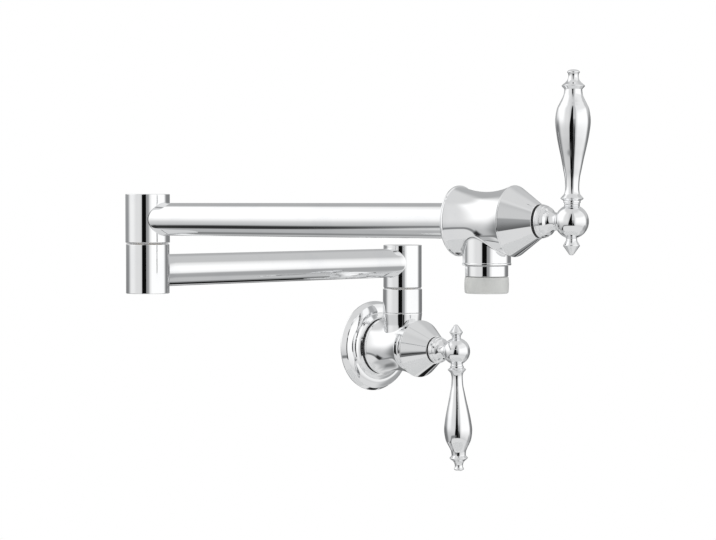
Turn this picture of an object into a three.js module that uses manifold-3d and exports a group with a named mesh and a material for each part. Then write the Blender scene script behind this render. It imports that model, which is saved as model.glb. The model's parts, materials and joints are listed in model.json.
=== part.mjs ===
// Wall mounted pot filler: two swinging arms between a wall valve and a spout valve.
// Millimetres, +Z up. The origin is the centre of the wall flange's back face, on the
// wall valve's axis. +Y points into the wall and -Y into the room.
import * as THREE from 'three';
import { mergeVertices } from 'three/addons/utils/BufferGeometryUtils.js';
import Module from 'manifold-3d';

const wasm = await Module();
wasm.setup();

// ---------------------------------------------------------------- driving dimensions

const GAP = 0.3; // clearance left between every two neighbouring pieces
const OVERCUT = 1; // how far a cutting tool runs past the face that it cuts
const ROUND = 28; // sides of the large turned pieces
const TURNED = 18; // sides of the handles' turned pieces
const BORED = 16; // sides of the bores and of what fits in them
const TINY = 10; // sides of screws and ports
const RING_SIDES = 5; // sides of an O-ring's section
const JET_SIDES = 5;

// Arms
const ARM_SPAN = 274; // from one swivel axis to the next, and on to the spout axis
const TUBE_R = 11;
const TUBE_WALL = 1.3;
const SPIGOT_LENGTH = 7; // how far a head's spigot reaches into its tube
const SPIGOT_WALL = 2.2;
const POST_OUT = 33; // from the wall to the post's swivel axis
const INNER_ARM_TURN = 8; // degrees that the inner arm stands off the wall's plane
const OUTER_ARM_TURN = 94.5; // degrees from the inner arm's run to the outer arm's run

// Swivels: a hollow spindle below, a head that turns on it above
const MALE_R = 14.75; // post head and lower elbow
const FEMALE_R = 15.1; // post stub, post sleeve and upper elbow
const STUB_TOP = 26.75; // top of the wall valve's stub, above the valve axis
const STUB_FOOT_R = 14.2; // the stub draws in a little towards the valve body
const SLEEVE_HEIGHT = 18.45;
const WASHER_HEIGHT = 0.5;
const POST_HEAD_BELOW = 19; // post head's foot, below the inner arm's axis
const POST_HEAD_ABOVE = 13.7;
const LOWER_ELBOW_BELOW = 15.4;
const LOWER_ELBOW_ABOVE = 18.1;
const UPPER_ELBOW_BELOW = 15.95;
const UPPER_ELBOW_ABOVE = 17.05;
const SPINDLE_R = 9.9;
const SPINDLE_BORE_R = 6.5;
const SPINDLE_GRIP = 6.5; // length of spindle screwed into the piece that carries it
const WINDOW_HEIGHT = 7;
const WINDOW_WIDTH = 8;
const RELIEF_DEPTH = 1.5; // channel round the spindle's windows
const RING_SECTION_R = 0.7; // O-rings of the swivels
const RING_LIFT = 5; // lower O-ring's centre above a head's foot
const SHOULDER_LIFT = 7.6; // shoulder that the retaining nut bears on, above the arm's axis
const NUT_HEIGHT = 2.2;
const NUT_LIP = 2.2; // how far the retaining nut reaches past the spindle
const CAP_HEIGHT = 3.2;
const EDGE = 0.5; // bevel on the edges of heads, sleeve, caps and boss

// Valve bodies, measured along the valve's axis from the outlet's axis
const BODY_HALF = 20.3; // outlet axis to either rim of the waisted body
const RIM_R = 21.8;
const WAIST_R = 17.8;
const FRONT_FLARE = 2; // how late the body flares towards its front ridge
const REAR_FLARE = 3; // and towards its rear rim
const FLARE_STEPS = 4;
const SEAT_BACK = 9; // valve seat behind the outlet axis
const INLET_R = 6.5;
const CHAMBER_R = 12;
const BONNET_LENGTH = 17.2;
const BONNET_END_R = 10.5;
const BONNET_WALL = 3.3; // square to the valve's axis
const BONNET_FRONT_WALL = 4.4;

// Wall connection
const SPIGOT_R = 16; // wall valve's spigot, inside the flange
const SPIGOT_INSET = 1; // spigot's end in front of the wall
const PIPE_THREAD_R = 9.4; // female half inch pipe thread
const PIPE_THREAD_DEPTH = 14;
const FLANGE_R = 34.9;
const FLANGE_EDGE = 2.2;
const FLANGE_BEVEL_R = 30.8;
const FLANGE_BEVEL_HEIGHT = 4.6;
const FLANGE_STEP_R = 26.2;
const FLANGE_STEP_HEIGHT = 8.6;
const FLANGE_STEP_IN = 0.8;
const FLANGE_NECK_R = 22.4;
const FLANGE_GROOVE = 0.9; // dark groove between the flange's neck and the valve's rim
const FLANGE_RIM_WALL = 3;
const FLANGE_HUB_WALL = 4.5;
const FLANGE_RECESS = 3.4;
const GASKET_WIDTH = 4.5;
const FLANGE_SCREW_R = 1.7;
const FLANGE_SCREW_LENGTH = 5;

// Spout valve's tube socket, boss and aerator, downwards from the valve axis
const SOCKET_WALL = 2.6;
const SOCKET_LENGTH = 3.6; // tube collar behind the rear rim
const SOCKET_DEPTH = 6;
const BOSS_R = 14.85;
const BOSS_DROP = 26.95;
const BOSS_THREAD_R = 11.5;
const BOSS_THREAD_DEPTH = 8;
const OUTLET_R = 8;
const HOUSING_R = 13.2;
const HOUSING_HEIGHT = 6.6;
const HOUSING_WALL = 2;
const HOUSING_WEB = 1.2; // floor between the nozzle's thread and the boss's thread
const NOZZLE_R = 13.65;
const NOZZLE_HEIGHT = 10.1;
const NOZZLE_WALL = 1.4;
const NOZZLE_EDGE = 1.2;
const MOUTH_R = 8.6;
const MOUTH_DEPTH = 5;
const JET_R = 0.9;
const JET_CIRCLE_R = 5.4;
const JETS = 8;
const AERATOR_WASHER_HEIGHT = 1.4;

// Quarter turn cartridge
const BARREL_R = 9.4;
const BARREL_BORE_R = 8;
const BARREL_FRONT = 6; // barrel's front wall, ahead of the outlet axis
const PORT_WINDOW = 6;
const SEAL_PROUD = 0.7; // seat seal stands out of the barrel's mouth
const SEAL_HEIGHT = 2.5;
const SEAL_BORE_R = 5.2;
const DISC_HEIGHT = 2.4;
const DISC_PORT_R = 2.2;
const DISC_PORT_OUT = 4.3;
const STEM_R = 3.5;
const STEM_SHOULDER_R = 5.5;
const STEM_BAR_WIDTH = 5;
const STEM_BAR_HEIGHT = 2;
const BODY_RING_SECTION_R = 0.9; // O-ring round the cartridge's thread
const BODY_RING_AHEAD = 9.2; // its centre, ahead of the outlet axis
const HEX_FLATS = 23;
const HEX_HEIGHT = 4.4;
const CARTRIDGE_NECK_R = 6;
const CARTRIDGE_NECK_IN = 1.1; // neck's end, inside the bonnet's end face

// Handles, measured from the hub ball's centre
const HUB_REACH = 22.3; // bonnet's end to the ball's centre
const HUB_R = 10.2;
const COLLAR_GROOVE = 0.8; // dark groove between bonnet and collar
const COLLAR_R = 10.3;
const COLLAR_LENGTH = 7.2;
const COLLAR_NECK_R = 4.9;
const STEM_INTO_HUB = 9; // how far the stem reaches into the ball
const LEVER_STUD_R = 3;
const LEVER_STUD_DEPTH = 5.5;
const FINIAL_STUD_R = 1.8;
const FINIAL_STUD_DEPTH = 5;
const HUB_SCREW_R = 1.5;
const HUB_SCREW_LENGTH = 4.2;
const HUB_SCREW_BACK = 4; // from the ball's centre back to the screw that grips the stem
const WALL_LEVER_LEAN = 1.7; // degrees that the closed wall lever hangs off plumb
const SPOUT_LEVER_LEAN = -1; // degrees that the closed spout lever stands off plumb

// Lever outline as [distance from the ball's centre, radius]
const LEVER_ROOT = [[8, 5.2], [11.6, 5.2]];
const LEVER_ROOT_BEAD = { at: 13.6, radius: 6.7, half: 1.5, foot: 5.1 };
const LEVER_GRIP = [[16.6, 4.75], [20.6, 4.45], [29, 5.4], [36.4, 6.6], [43.5, 8.1], [51, 9.6],
  [59.4, 10.6], [66.4, 9.85], [71, 8.2], [74.6, 6.3], [77.2, 5.5]];
const LEVER_GRIP_STEPS = 11;
const LEVER_END_BEAD = { at: 80.8, radius: 6.9, half: 1.9, foot: 5.2 };
const LEVER_BUTTON = [[84, 3.6], [86, 3.3], [87.8, 3.35], [89, 3.8], [90.1, 2.9], [90.5, 0]];
const FINIAL = [[11.2, 3], [12.4, 4], [13.8, 4.9], [15.2, 4.85], [17.2, 3.45], [19.4, 1.5], [20.1, 0]];
const FINIAL_STEPS = 9;
const BEAD_STEPS = 4;
const BELL_STEPS = 5;
const CROWN_STEPS = 3;

// Grub screws, as shares of the screw's radius
const SCREW_BEVEL = 0.25;
const SCREW_SOCKET = 0.55;

// ---------------------------------------------------------------- materials

function finish(color, roughness, metalness) {
  return new THREE.MeshStandardMaterial({ color, roughness, metalness, flatShading: true });
}

const chrome = finish(0xdfe1e3, 0.05, 1);
const brass = finish(0xb89a55, 0.3, 1);
const steel = finish(0x9a9c9e, 0.3, 1);
const rubber = finish(0x1c1c1d, 0.75, 0);
const foam = finish(0x2c2c2e, 0.9, 0);
const ceramic = finish(0xf1eee6, 0.25, 0);
const whitePlastic = finish(0xe9e9e6, 0.45, 0);
const cloudyPlastic = finish(0xcfd0cc, 0.4, 0);

// ---------------------------------------------------------------- solids

const WELD = 1e-4; // vertices this close are one

// A closed three.js geometry becomes a solid: shared vertices are merged and the
// slivers that a turned profile leaves on its axis are dropped.
function solid(geometry) {
  const bare = geometry.clone();
  bare.deleteAttribute('normal');
  bare.deleteAttribute('uv');
  const merged = mergeVertices(bare, WELD);
  const index = merged.index.array;
  const kept = [];
  for (let i = 0; i < index.length; i += 3) {
    const [a, b, c] = [index[i], index[i + 1], index[i + 2]];
    if (a !== b && b !== c && c !== a) kept.push(a, b, c);
  }
  const vertProperties = new Float32Array(merged.attributes.position.array);
  return new wasm.Manifold(new wasm.Mesh({ numProp: 3, vertProperties, triVerts: new Uint32Array(kept) }));
}

function toGeometry(body) {
  const mesh = body.getMesh();
  const geometry = new THREE.BufferGeometry();
  geometry.setAttribute('position', new THREE.BufferAttribute(Float32Array.from(mesh.vertProperties), 3));
  geometry.setIndex(new THREE.BufferAttribute(Uint32Array.from(mesh.triVerts), 1));
  geometry.computeVertexNormals();
  return geometry;
}

// Turned piece about +Y. The outline is [along, radius] pairs, walked with rising
// "along" on the outside and back down the bore.
function turnedShape(outline, sides) {
  const points = outline.map(([along, radius]) => new THREE.Vector2(radius, along));
  return new THREE.LatheGeometry(points, sides);
}

const alongY = (outline, sides = ROUND) => solid(turnedShape(outline, sides));
const alongZ = (outline, sides = ROUND) => solid(turnedShape(outline, sides).rotateX(Math.PI / 2));
const alongX = (outline, sides = ROUND) => solid(turnedShape(outline, sides).rotateZ(-Math.PI / 2));

// Solid rod from one distance to another, as an outline for the turning functions
const rod = (from, to, radius) => [[from, 0], [from, radius], [to, radius], [to, 0]];

// Rod with both edges bevelled
const bevelledRod = (from, to, radius, bevel) => [
  [from, 0], [from, radius - bevel], [from + bevel, radius],
  [to - bevel, radius], [to, radius - bevel], [to, 0],
];

// Ring with a square section
const ring = (from, to, outer, inner) => [
  [from, inner], [from, outer], [to, outer], [to, inner], [from, inner],
];

// Ring with a round section, centred at one distance
function roundRing(at, radius, section) {
  const outline = [];
  for (let i = 0; i <= RING_SIDES; i += 1) {
    const angle = (i / RING_SIDES) * 2 * Math.PI;
    outline.push([at - section * Math.cos(angle), radius + section * Math.sin(angle)]);
  }
  return outline;
}

// Half round bead on a turned outline
function beadOutline({ at, radius, half, foot }) {
  const outline = [];
  for (let i = 0; i <= BEAD_STEPS; i += 1) {
    const angle = (i / BEAD_STEPS) * Math.PI;
    outline.push([at - half * Math.cos(angle), foot + (radius - foot) * Math.sin(angle)]);
  }
  return outline;
}

// Smooth curve through the stations of a turned outline
function curved(stations, steps) {
  const curve = new THREE.SplineCurve(stations.map(([along, radius]) => new THREE.Vector2(along, radius)));
  return curve.getPoints(steps).map((point) => [point.x, Math.max(point.y, 0)]);
}

function box(x, y, z, at = [0, 0, 0]) {
  return solid(new THREE.BoxGeometry(x, y, z).translate(...at));
}

function ball(radius, at = [0, 0, 0]) {
  return solid(new THREE.SphereGeometry(radius, TURNED, TURNED / 2).translate(...at));
}

// Hexagonal prism along +Y, measured across its flats
function hexAlongY(flats, from, to) {
  const corner = flats / Math.sqrt(3);
  return solid(new THREE.CylinderGeometry(corner, corner, to - from, 6).translate(0, (from + to) / 2, 0));
}

// Grub screw along +Z with a hexagonal socket in its outer end
function grubScrew(radius, inner, outer) {
  const socketDepth = Math.min(2 * radius, (outer - inner) / 2);
  const socketR = SCREW_SOCKET * radius;
  const socket = new THREE.CylinderGeometry(socketR, socketR, socketDepth + OVERCUT, 6)
    .rotateX(Math.PI / 2).translate(0, 0, outer + (OVERCUT - socketDepth) / 2);
  return alongZ(bevelledRod(inner, outer, radius, SCREW_BEVEL * radius), TINY).subtract(solid(socket));
}

// ---------------------------------------------------------------- scene graph

const potFiller = new THREE.Group();

function place(parent, at = [0, 0, 0], turnZ = 0) {
  const group = new THREE.Group();
  group.position.set(...at);
  group.rotation.z = turnZ;
  parent.add(group);
  return group;
}

function piece(parent, name, body, material) {
  const mesh = new THREE.Mesh(toGeometry(body), material);
  mesh.name = name;
  parent.add(mesh);
  return mesh;
}

// ---------------------------------------------------------------- levels and frames

const boreR = SPINDLE_R + GAP;
const sleeveFoot = STUB_TOP + GAP;
const sleeveTop = sleeveFoot + SLEEVE_HEIGHT;
const postHeadFoot = sleeveTop + GAP + WASHER_HEIGHT + GAP;
const innerArmZ = postHeadFoot + POST_HEAD_BELOW;
const lowerElbowTop = innerArmZ + LOWER_ELBOW_ABOVE;
const upperElbowFoot = lowerElbowTop + GAP + WASHER_HEIGHT + GAP;
const outerArmZ = upperElbowFoot + UPPER_ELBOW_BELOW;
const tubeBoreR = TUBE_R - TUBE_WALL;

// Each arm's frame has +X along the arm, away from the piece that carries it.
const post = place(potFiller, [0, -POST_OUT, 0]);
const innerArm = place(post, [0, 0, 0], Math.PI + THREE.MathUtils.degToRad(INNER_ARM_TURN));
const outerArm = place(innerArm, [ARM_SPAN, 0, 0], THREE.MathUtils.degToRad(OUTER_ARM_TURN));

// Each valve's frame has +Y along the valve's axis, towards its handle.
const wallValve = place(potFiller, [0, -POST_OUT, 0], Math.PI);
const spoutValve = place(outerArm, [ARM_SPAN, 0, outerArmZ], -Math.PI / 2);

// ---------------------------------------------------------------- swivels and arms

// Short spigot that a head carries for its tube, with the waterway through it
function spigotTools(headR, armZ, direction) {
  const outer = tubeBoreR - GAP;
  const reach = headR + SPIGOT_LENGTH;
  const turned = (length, radius) => alongX(rod(0, length, radius), BORED)
    .rotate([0, 0, direction > 0 ? 0 : 180]).translate([0, 0, armZ]);
  return {
    outside: turned(reach, outer),
    waterway: turned(reach + OVERCUT, outer - SPIGOT_WALL),
  };
}

// Head of a swivel: a closed barrel that turns on the spindle below it
function swivelHead(radius, foot, armZ, top, direction) {
  const spigot = spigotTools(radius, armZ, direction);
  const bore = alongZ(rod(foot - OVERCUT, top + OVERCUT, boreR), BORED);
  const nutBore = alongZ(rod(armZ + SHOULDER_LIFT, top + OVERCUT, SPINDLE_R + NUT_LIP + GAP), BORED);
  return alongZ(bevelledRod(foot, top, radius, EDGE))
    .add(spigot.outside).subtract(spigot.waterway).subtract(bore).subtract(nutBore);
}

// Hollow spindle: grip in the piece below, two ring grooves, windows at the arm's level
function swivelSpindle(gripFoot, headFoot, armZ) {
  const grooveR = SPINDLE_R - 2 * RING_SECTION_R - GAP;
  const ringHalf = RING_SECTION_R + GAP;
  const reliefR = SPINDLE_R - RELIEF_DEPTH;
  const lowerRing = headFoot + RING_LIFT;
  const reliefHalf = WINDOW_HEIGHT / 2 + GAP;
  const upperRing = upperRingZ(armZ);
  const top = armZ + SHOULDER_LIFT + GAP + NUT_HEIGHT;
  const body = alongZ([
    [gripFoot, SPINDLE_BORE_R], [gripFoot, SPINDLE_R],
    [lowerRing - ringHalf, SPINDLE_R], [lowerRing - ringHalf, grooveR],
    [lowerRing + ringHalf, grooveR], [lowerRing + ringHalf, SPINDLE_R],
    [armZ - reliefHalf, SPINDLE_R], [armZ - reliefHalf, reliefR],
    [armZ + reliefHalf, reliefR], [armZ + reliefHalf, SPINDLE_R],
    [upperRing - ringHalf, SPINDLE_R], [upperRing - ringHalf, grooveR],
    [upperRing + ringHalf, grooveR], [upperRing + ringHalf, SPINDLE_R],
    [top, SPINDLE_R], [top, SPINDLE_BORE_R], [gripFoot, SPINDLE_BORE_R],
  ], BORED);
  const reach = 2 * (SPINDLE_R + OVERCUT);
  return body
    .subtract(box(reach, WINDOW_WIDTH, WINDOW_HEIGHT, [0, 0, armZ]))
    .subtract(box(WINDOW_WIDTH, reach, WINDOW_HEIGHT, [0, 0, armZ]));
}

// Upper O-ring sits halfway between the windows' channel and the nut's shoulder.
function upperRingZ(armZ) {
  return armZ + (WINDOW_HEIGHT / 2 + GAP + SHOULDER_LIFT) / 2;
}

const ringR = SPINDLE_R - RING_SECTION_R;

// Everything between the piece that carries a swivel and the head that turns on it
function swivelInside(fixed, prefix, gripFoot, headFoot, armZ) {
  piece(fixed, `${prefix}_spindle`, swivelSpindle(gripFoot, headFoot, armZ), brass);
  piece(fixed, `${prefix}_o_ring_lower`,
    alongZ(roundRing(headFoot + RING_LIFT, ringR, RING_SECTION_R), BORED), rubber);
  piece(fixed, `${prefix}_o_ring_upper`,
    alongZ(roundRing(upperRingZ(armZ), ringR, RING_SECTION_R), BORED), rubber);
  const washerFoot = headFoot - GAP - WASHER_HEIGHT;
  piece(fixed, `${prefix}_thrust_washer`,
    alongZ(ring(washerFoot, headFoot - GAP, MALE_R - GAP, boreR), BORED), whitePlastic);
  const nutFoot = armZ + SHOULDER_LIFT + GAP;
  piece(fixed, `${prefix}_retaining_nut`,
    alongZ(ring(nutFoot, nutFoot + NUT_HEIGHT, SPINDLE_R + NUT_LIP, SPINDLE_R + GAP), BORED), brass);
}

// Round plug that closes the open end of a head, flush with it
function endPlug(from, to) {
  return alongZ(bevelledRod(from, to, SPINDLE_R + NUT_LIP, EDGE), BORED);
}

// Arm tube in an arm's frame, saddle cut where it meets a round head
function armTube(armZ, from, to, heads) {
  const tube = alongX(ring(from, to, TUBE_R, tubeBoreR)).translate([0, 0, armZ]);
  return heads.reduce((body, [x, radius]) => {
    const cutter = alongZ(rod(armZ - TUBE_R - OVERCUT, armZ + TUBE_R + OVERCUT, radius + GAP));
    return body.subtract(cutter.translate([x, 0, 0]));
  }, tube);
}

function buildPost() {
  piece(post, 'post_sleeve',
    alongZ([
      [sleeveFoot, boreR], [sleeveFoot, FEMALE_R - EDGE], [sleeveFoot + EDGE, FEMALE_R],
      [sleeveTop - EDGE, FEMALE_R], [sleeveTop, FEMALE_R - EDGE], [sleeveTop, boreR],
      [sleeveFoot, boreR],
    ]), chrome);
  swivelInside(post, 'post', STUB_TOP - SPINDLE_GRIP, postHeadFoot, innerArmZ);
}

function buildInnerArm() {
  const headTop = innerArmZ + POST_HEAD_ABOVE;
  piece(innerArm, 'post_head', swivelHead(MALE_R, postHeadFoot, innerArmZ, headTop, 1), chrome);
  piece(innerArm, 'post_cap', endPlug(headTop - CAP_HEIGHT, headTop), chrome);
  piece(innerArm, 'inner_arm_tube',
    armTube(innerArmZ, 0, ARM_SPAN, [[0, MALE_R], [ARM_SPAN, MALE_R]]), chrome);

  const elbow = place(innerArm, [ARM_SPAN, 0, 0]);
  const foot = innerArmZ - LOWER_ELBOW_BELOW;
  const spigot = spigotTools(MALE_R, innerArmZ, -1);
  const bore = alongZ(rod(foot - OVERCUT, lowerElbowTop + OVERCUT, boreR), BORED);
  const plugBore = alongZ(rod(foot - OVERCUT, foot + CAP_HEIGHT + GAP, SPINDLE_R + NUT_LIP + GAP), BORED);
  piece(elbow, 'lower_elbow',
    alongZ(bevelledRod(foot, lowerElbowTop, MALE_R, EDGE))
      .add(spigot.outside).subtract(spigot.waterway).subtract(bore).subtract(plugBore), chrome);
  piece(elbow, 'lower_elbow_plug', endPlug(foot, foot + CAP_HEIGHT), chrome);
  swivelInside(elbow, 'elbow', lowerElbowTop - SPINDLE_GRIP, upperElbowFoot, outerArmZ);
}

function buildOuterArm() {
  const top = outerArmZ + UPPER_ELBOW_ABOVE;
  piece(outerArm, 'upper_elbow', swivelHead(FEMALE_R, upperElbowFoot, outerArmZ, top, 1), chrome);
  piece(outerArm, 'upper_elbow_cap', endPlug(top - CAP_HEIGHT, top), chrome);
  const tubeEnd = ARM_SPAN - BODY_HALF + SOCKET_DEPTH - SOCKET_LENGTH;
  piece(outerArm, 'outer_arm_tube', armTube(outerArmZ, 0, tubeEnd, [[0, FEMALE_R]]), chrome);
}

// ---------------------------------------------------------------- valves

const bonnetFoot = BODY_HALF + GAP;
const bonnetEnd = bonnetFoot + BONNET_LENGTH;
const hubAt = bonnetEnd + HUB_REACH;
const cartridgeNeckEnd = bonnetEnd - CARTRIDGE_NECK_IN;
const stemBoreR = STEM_R + GAP;

// Waisted outline between the rear rim and the front ridge
function waistOutline() {
  const outline = [];
  for (let i = -FLARE_STEPS; i <= FLARE_STEPS; i += 1) {
    const share = i / FLARE_STEPS;
    const flare = Math.abs(share) ** (share < 0 ? REAR_FLARE : FRONT_FLARE);
    outline.push([share * BODY_HALF, WAIST_R + (RIM_R - WAIST_R) * flare]);
  }
  return outline;
}

// What both valve bodies share: the cartridge's chamber and the way in to its seat
function valveWaterway(inletFrom) {
  return alongY(rod(-SEAT_BACK, BODY_HALF + OVERCUT, CHAMBER_R), BORED)
    .add(alongY(rod(inletFrom, -SEAT_BACK + OVERCUT, INLET_R), BORED));
}

function buildWallValveBody() {
  const rear = -(POST_OUT - SPIGOT_INSET);
  const outside = alongY([
    [rear, 0], [rear, SPIGOT_R], [-BODY_HALF, SPIGOT_R], ...waistOutline(), [BODY_HALF, 0],
  ]);
  const stub = alongZ([
    [0, 0], [0, STUB_FOOT_R], [WAIST_R - EDGE, STUB_FOOT_R], [STUB_TOP - EDGE, FEMALE_R],
    [STUB_TOP, FEMALE_R - EDGE], [STUB_TOP, 0],
  ]);
  const threadEnd = rear + PIPE_THREAD_DEPTH;
  const pipeThread = alongY(rod(rear - OVERCUT, threadEnd, PIPE_THREAD_R), BORED);
  const riser = alongZ(rod(0, STUB_TOP, SPINDLE_BORE_R), BORED);
  const spindleBore = alongZ(rod(STUB_TOP - SPINDLE_GRIP - GAP, STUB_TOP + OVERCUT, boreR), BORED);
  piece(wallValve, 'wall_valve_body',
    outside.add(stub).subtract(pipeThread).subtract(valveWaterway(threadEnd - OVERCUT))
      .subtract(riser).subtract(spindleBore), chrome);
}

function buildSpoutValveBody() {
  const rear = -(BODY_HALF + SOCKET_LENGTH);
  const socketR = TUBE_R + GAP;
  const outside = alongY([
    [rear, 0], [rear, socketR + SOCKET_WALL - EDGE], [rear + EDGE, socketR + SOCKET_WALL],
    ...waistOutline(), [BODY_HALF, 0],
  ]);
  const boss = alongZ([
    [-BOSS_DROP, 0], [-BOSS_DROP, BOSS_R - EDGE], [-BOSS_DROP + EDGE, BOSS_R], [0, BOSS_R], [0, 0],
  ]);
  const socketEnd = rear + SOCKET_DEPTH + GAP;
  const socket = alongY(rod(rear - OVERCUT, socketEnd, socketR), BORED);
  const outlet = alongZ(rod(-BOSS_DROP - OVERCUT, 0, OUTLET_R), BORED);
  const thread = alongZ(rod(-BOSS_DROP - OVERCUT, -BOSS_DROP + BOSS_THREAD_DEPTH, BOSS_THREAD_R), BORED);
  piece(spoutValve, 'spout_valve_body',
    outside.add(boss).subtract(socket).subtract(valveWaterway(socketEnd - OVERCUT))
      .subtract(outlet).subtract(thread), chrome);
}

// Hollow cone that covers the cartridge's hexagon and carries the groove by the handle
function bonnet() {
  const slope = (RIM_R - BONNET_END_R) / BONNET_LENGTH;
  const mouthR = RIM_R - BONNET_WALL;
  const innerEnd = bonnetEnd - BONNET_FRONT_WALL;
  const innerEndR = mouthR - slope * (innerEnd - bonnetFoot);
  const neckR = CARTRIDGE_NECK_R + GAP;
  return alongY([
    [bonnetFoot, mouthR], [bonnetFoot, RIM_R], [bonnetEnd, BONNET_END_R], [bonnetEnd, neckR],
    [innerEnd, neckR], [innerEnd, innerEndR], [bonnetFoot, mouthR],
  ]);
}

function cartridge() {
  const barrelMouth = -SEAT_BACK + GAP + SEAL_PROUD;
  const threadR = CHAMBER_R - GAP;
  const grooveR = threadR - 2 * BODY_RING_SECTION_R - GAP;
  const ringHalf = BODY_RING_SECTION_R + GAP;
  const hexEnd = bonnetFoot + HEX_HEIGHT;
  const body = alongY([
    [barrelMouth, BARREL_BORE_R], [barrelMouth, BARREL_R], [BARREL_FRONT, BARREL_R],
    [BARREL_FRONT, threadR], [BODY_RING_AHEAD - ringHalf, threadR],
    [BODY_RING_AHEAD - ringHalf, grooveR], [BODY_RING_AHEAD + ringHalf, grooveR],
    [BODY_RING_AHEAD + ringHalf, threadR], [bonnetFoot + OVERCUT, threadR],
    [bonnetFoot + OVERCUT, CARTRIDGE_NECK_R], [cartridgeNeckEnd, CARTRIDGE_NECK_R],
    [cartridgeNeckEnd, stemBoreR], [BARREL_FRONT, stemBoreR], [BARREL_FRONT, BARREL_BORE_R],
    [barrelMouth, BARREL_BORE_R],
  ], BORED);
  const stemBore = alongY(rod(bonnetFoot - OVERCUT, hexEnd + OVERCUT, stemBoreR), BORED);
  const windowAt = BARREL_FRONT - PORT_WINDOW / 2 - GAP;
  const reach = 2 * (BARREL_R + OVERCUT);
  return body.add(hexAlongY(HEX_FLATS, bonnetFoot, hexEnd).subtract(stemBore))
    .subtract(box(reach, PORT_WINDOW, PORT_WINDOW, [0, windowAt, 0]))
    .subtract(box(PORT_WINDOW, PORT_WINDOW, reach, [0, windowAt, 0]));
}

// Ceramic disc with two ports, across or up and down
function disc(from, across) {
  const radius = BARREL_BORE_R - GAP;
  const out = across ? [DISC_PORT_OUT, 0] : [0, DISC_PORT_OUT];
  const port = alongY(rod(from - OVERCUT, from + DISC_HEIGHT + OVERCUT, DISC_PORT_R), TINY);
  return alongY(rod(from, from + DISC_HEIGHT, radius), BORED)
    .subtract(port.translate([out[0], 0, out[1]]))
    .subtract(port.translate([-out[0], 0, -out[1]]));
}

const sealFoot = -SEAT_BACK + GAP;
const fixedDiscFoot = sealFoot + SEAL_HEIGHT + GAP;
const movingDiscFoot = fixedDiscFoot + DISC_HEIGHT + GAP;
const stemFoot = movingDiscFoot + DISC_HEIGHT + GAP;

function stem() {
  const shoulderTop = BARREL_FRONT - GAP;
  const barTop = stemFoot + STEM_BAR_HEIGHT;
  const shaft = alongY([
    [stemFoot, 0], [stemFoot, STEM_R], [barTop, STEM_R], [barTop, STEM_SHOULDER_R],
    [shoulderTop, STEM_SHOULDER_R], [shoulderTop, STEM_R],
    [hubAt - HUB_R + STEM_INTO_HUB, STEM_R], [hubAt - HUB_R + STEM_INTO_HUB, 0],
  ], BORED);
  const barLength = 2 * Math.sqrt((BARREL_BORE_R - GAP) ** 2 - (STEM_BAR_WIDTH / 2) ** 2);
  return shaft.add(box(barLength, STEM_BAR_HEIGHT, STEM_BAR_WIDTH, [0, stemFoot + STEM_BAR_HEIGHT / 2, 0]));
}

// Bell shaped collar and neck between the bonnet and the ball
function collar() {
  const foot = bonnetEnd + COLLAR_GROOVE;
  const bell = [];
  for (let i = 0; i <= BELL_STEPS; i += 1) {
    const angle = (i / BELL_STEPS) * (Math.PI / 2);
    const rise = COLLAR_LENGTH * Math.sin(angle);
    bell.push([foot + rise, COLLAR_NECK_R + (COLLAR_R - COLLAR_NECK_R) * Math.cos(angle)]);
  }
  return alongY([
    [foot, 0], ...bell, [hubAt, COLLAR_NECK_R], [hubAt, 0],
  ], TURNED).subtract(alongY(rod(foot - OVERCUT, hubAt + OVERCUT, stemBoreR), BORED))
    .subtract(ball(HUB_R + GAP, [0, hubAt, 0]));
}

// Ball with bores for the stem, the lever's and finial's studs and the grub screw
function hub(screwSide) {
  const stemBore = alongY(rod(-HUB_R - OVERCUT, STEM_INTO_HUB - HUB_R + GAP, stemBoreR), BORED);
  const leverBore = alongZ(rod(HUB_R - LEVER_STUD_DEPTH - GAP, HUB_R + OVERCUT, LEVER_STUD_R + GAP), BORED);
  const finialBoreEnd = FINIAL_STUD_DEPTH + GAP - HUB_R;
  const finialBore = alongZ(rod(-HUB_R - OVERCUT, finialBoreEnd, FINIAL_STUD_R + GAP), TINY);
  const reach = screwSide * (HUB_R + OVERCUT);
  const screwBore = alongX(rod(Math.min(0, reach), Math.max(0, reach), HUB_SCREW_R + GAP), TINY)
    .translate([0, -HUB_SCREW_BACK, 0]);
  return ball(HUB_R).subtract(stemBore).subtract(leverBore).subtract(finialBore).subtract(screwBore);
}

function lever() {
  const outline = [
    [LEVER_ROOT[0][0], 0], ...LEVER_ROOT, ...beadOutline(LEVER_ROOT_BEAD),
    ...curved(LEVER_GRIP, LEVER_GRIP_STEPS), ...beadOutline(LEVER_END_BEAD),
    ...LEVER_BUTTON,
  ];
  return alongZ(outline, TURNED).subtract(ball(HUB_R + GAP))
    .add(alongZ(rod(HUB_R - LEVER_STUD_DEPTH, HUB_R + OVERCUT, LEVER_STUD_R), BORED));
}

function finial() {
  const [root] = FINIAL;
  const outline = [[HUB_R - OVERCUT, 0], [HUB_R - OVERCUT, root[1]], ...curved(FINIAL, FINIAL_STEPS)];
  const knob = solid(turnedShape(outline, TURNED).rotateX(-Math.PI / 2)).subtract(ball(HUB_R + GAP));
  return knob.add(alongZ(rod(-HUB_R - OVERCUT, FINIAL_STUD_DEPTH - HUB_R, FINIAL_STUD_R), TINY));
}

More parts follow.
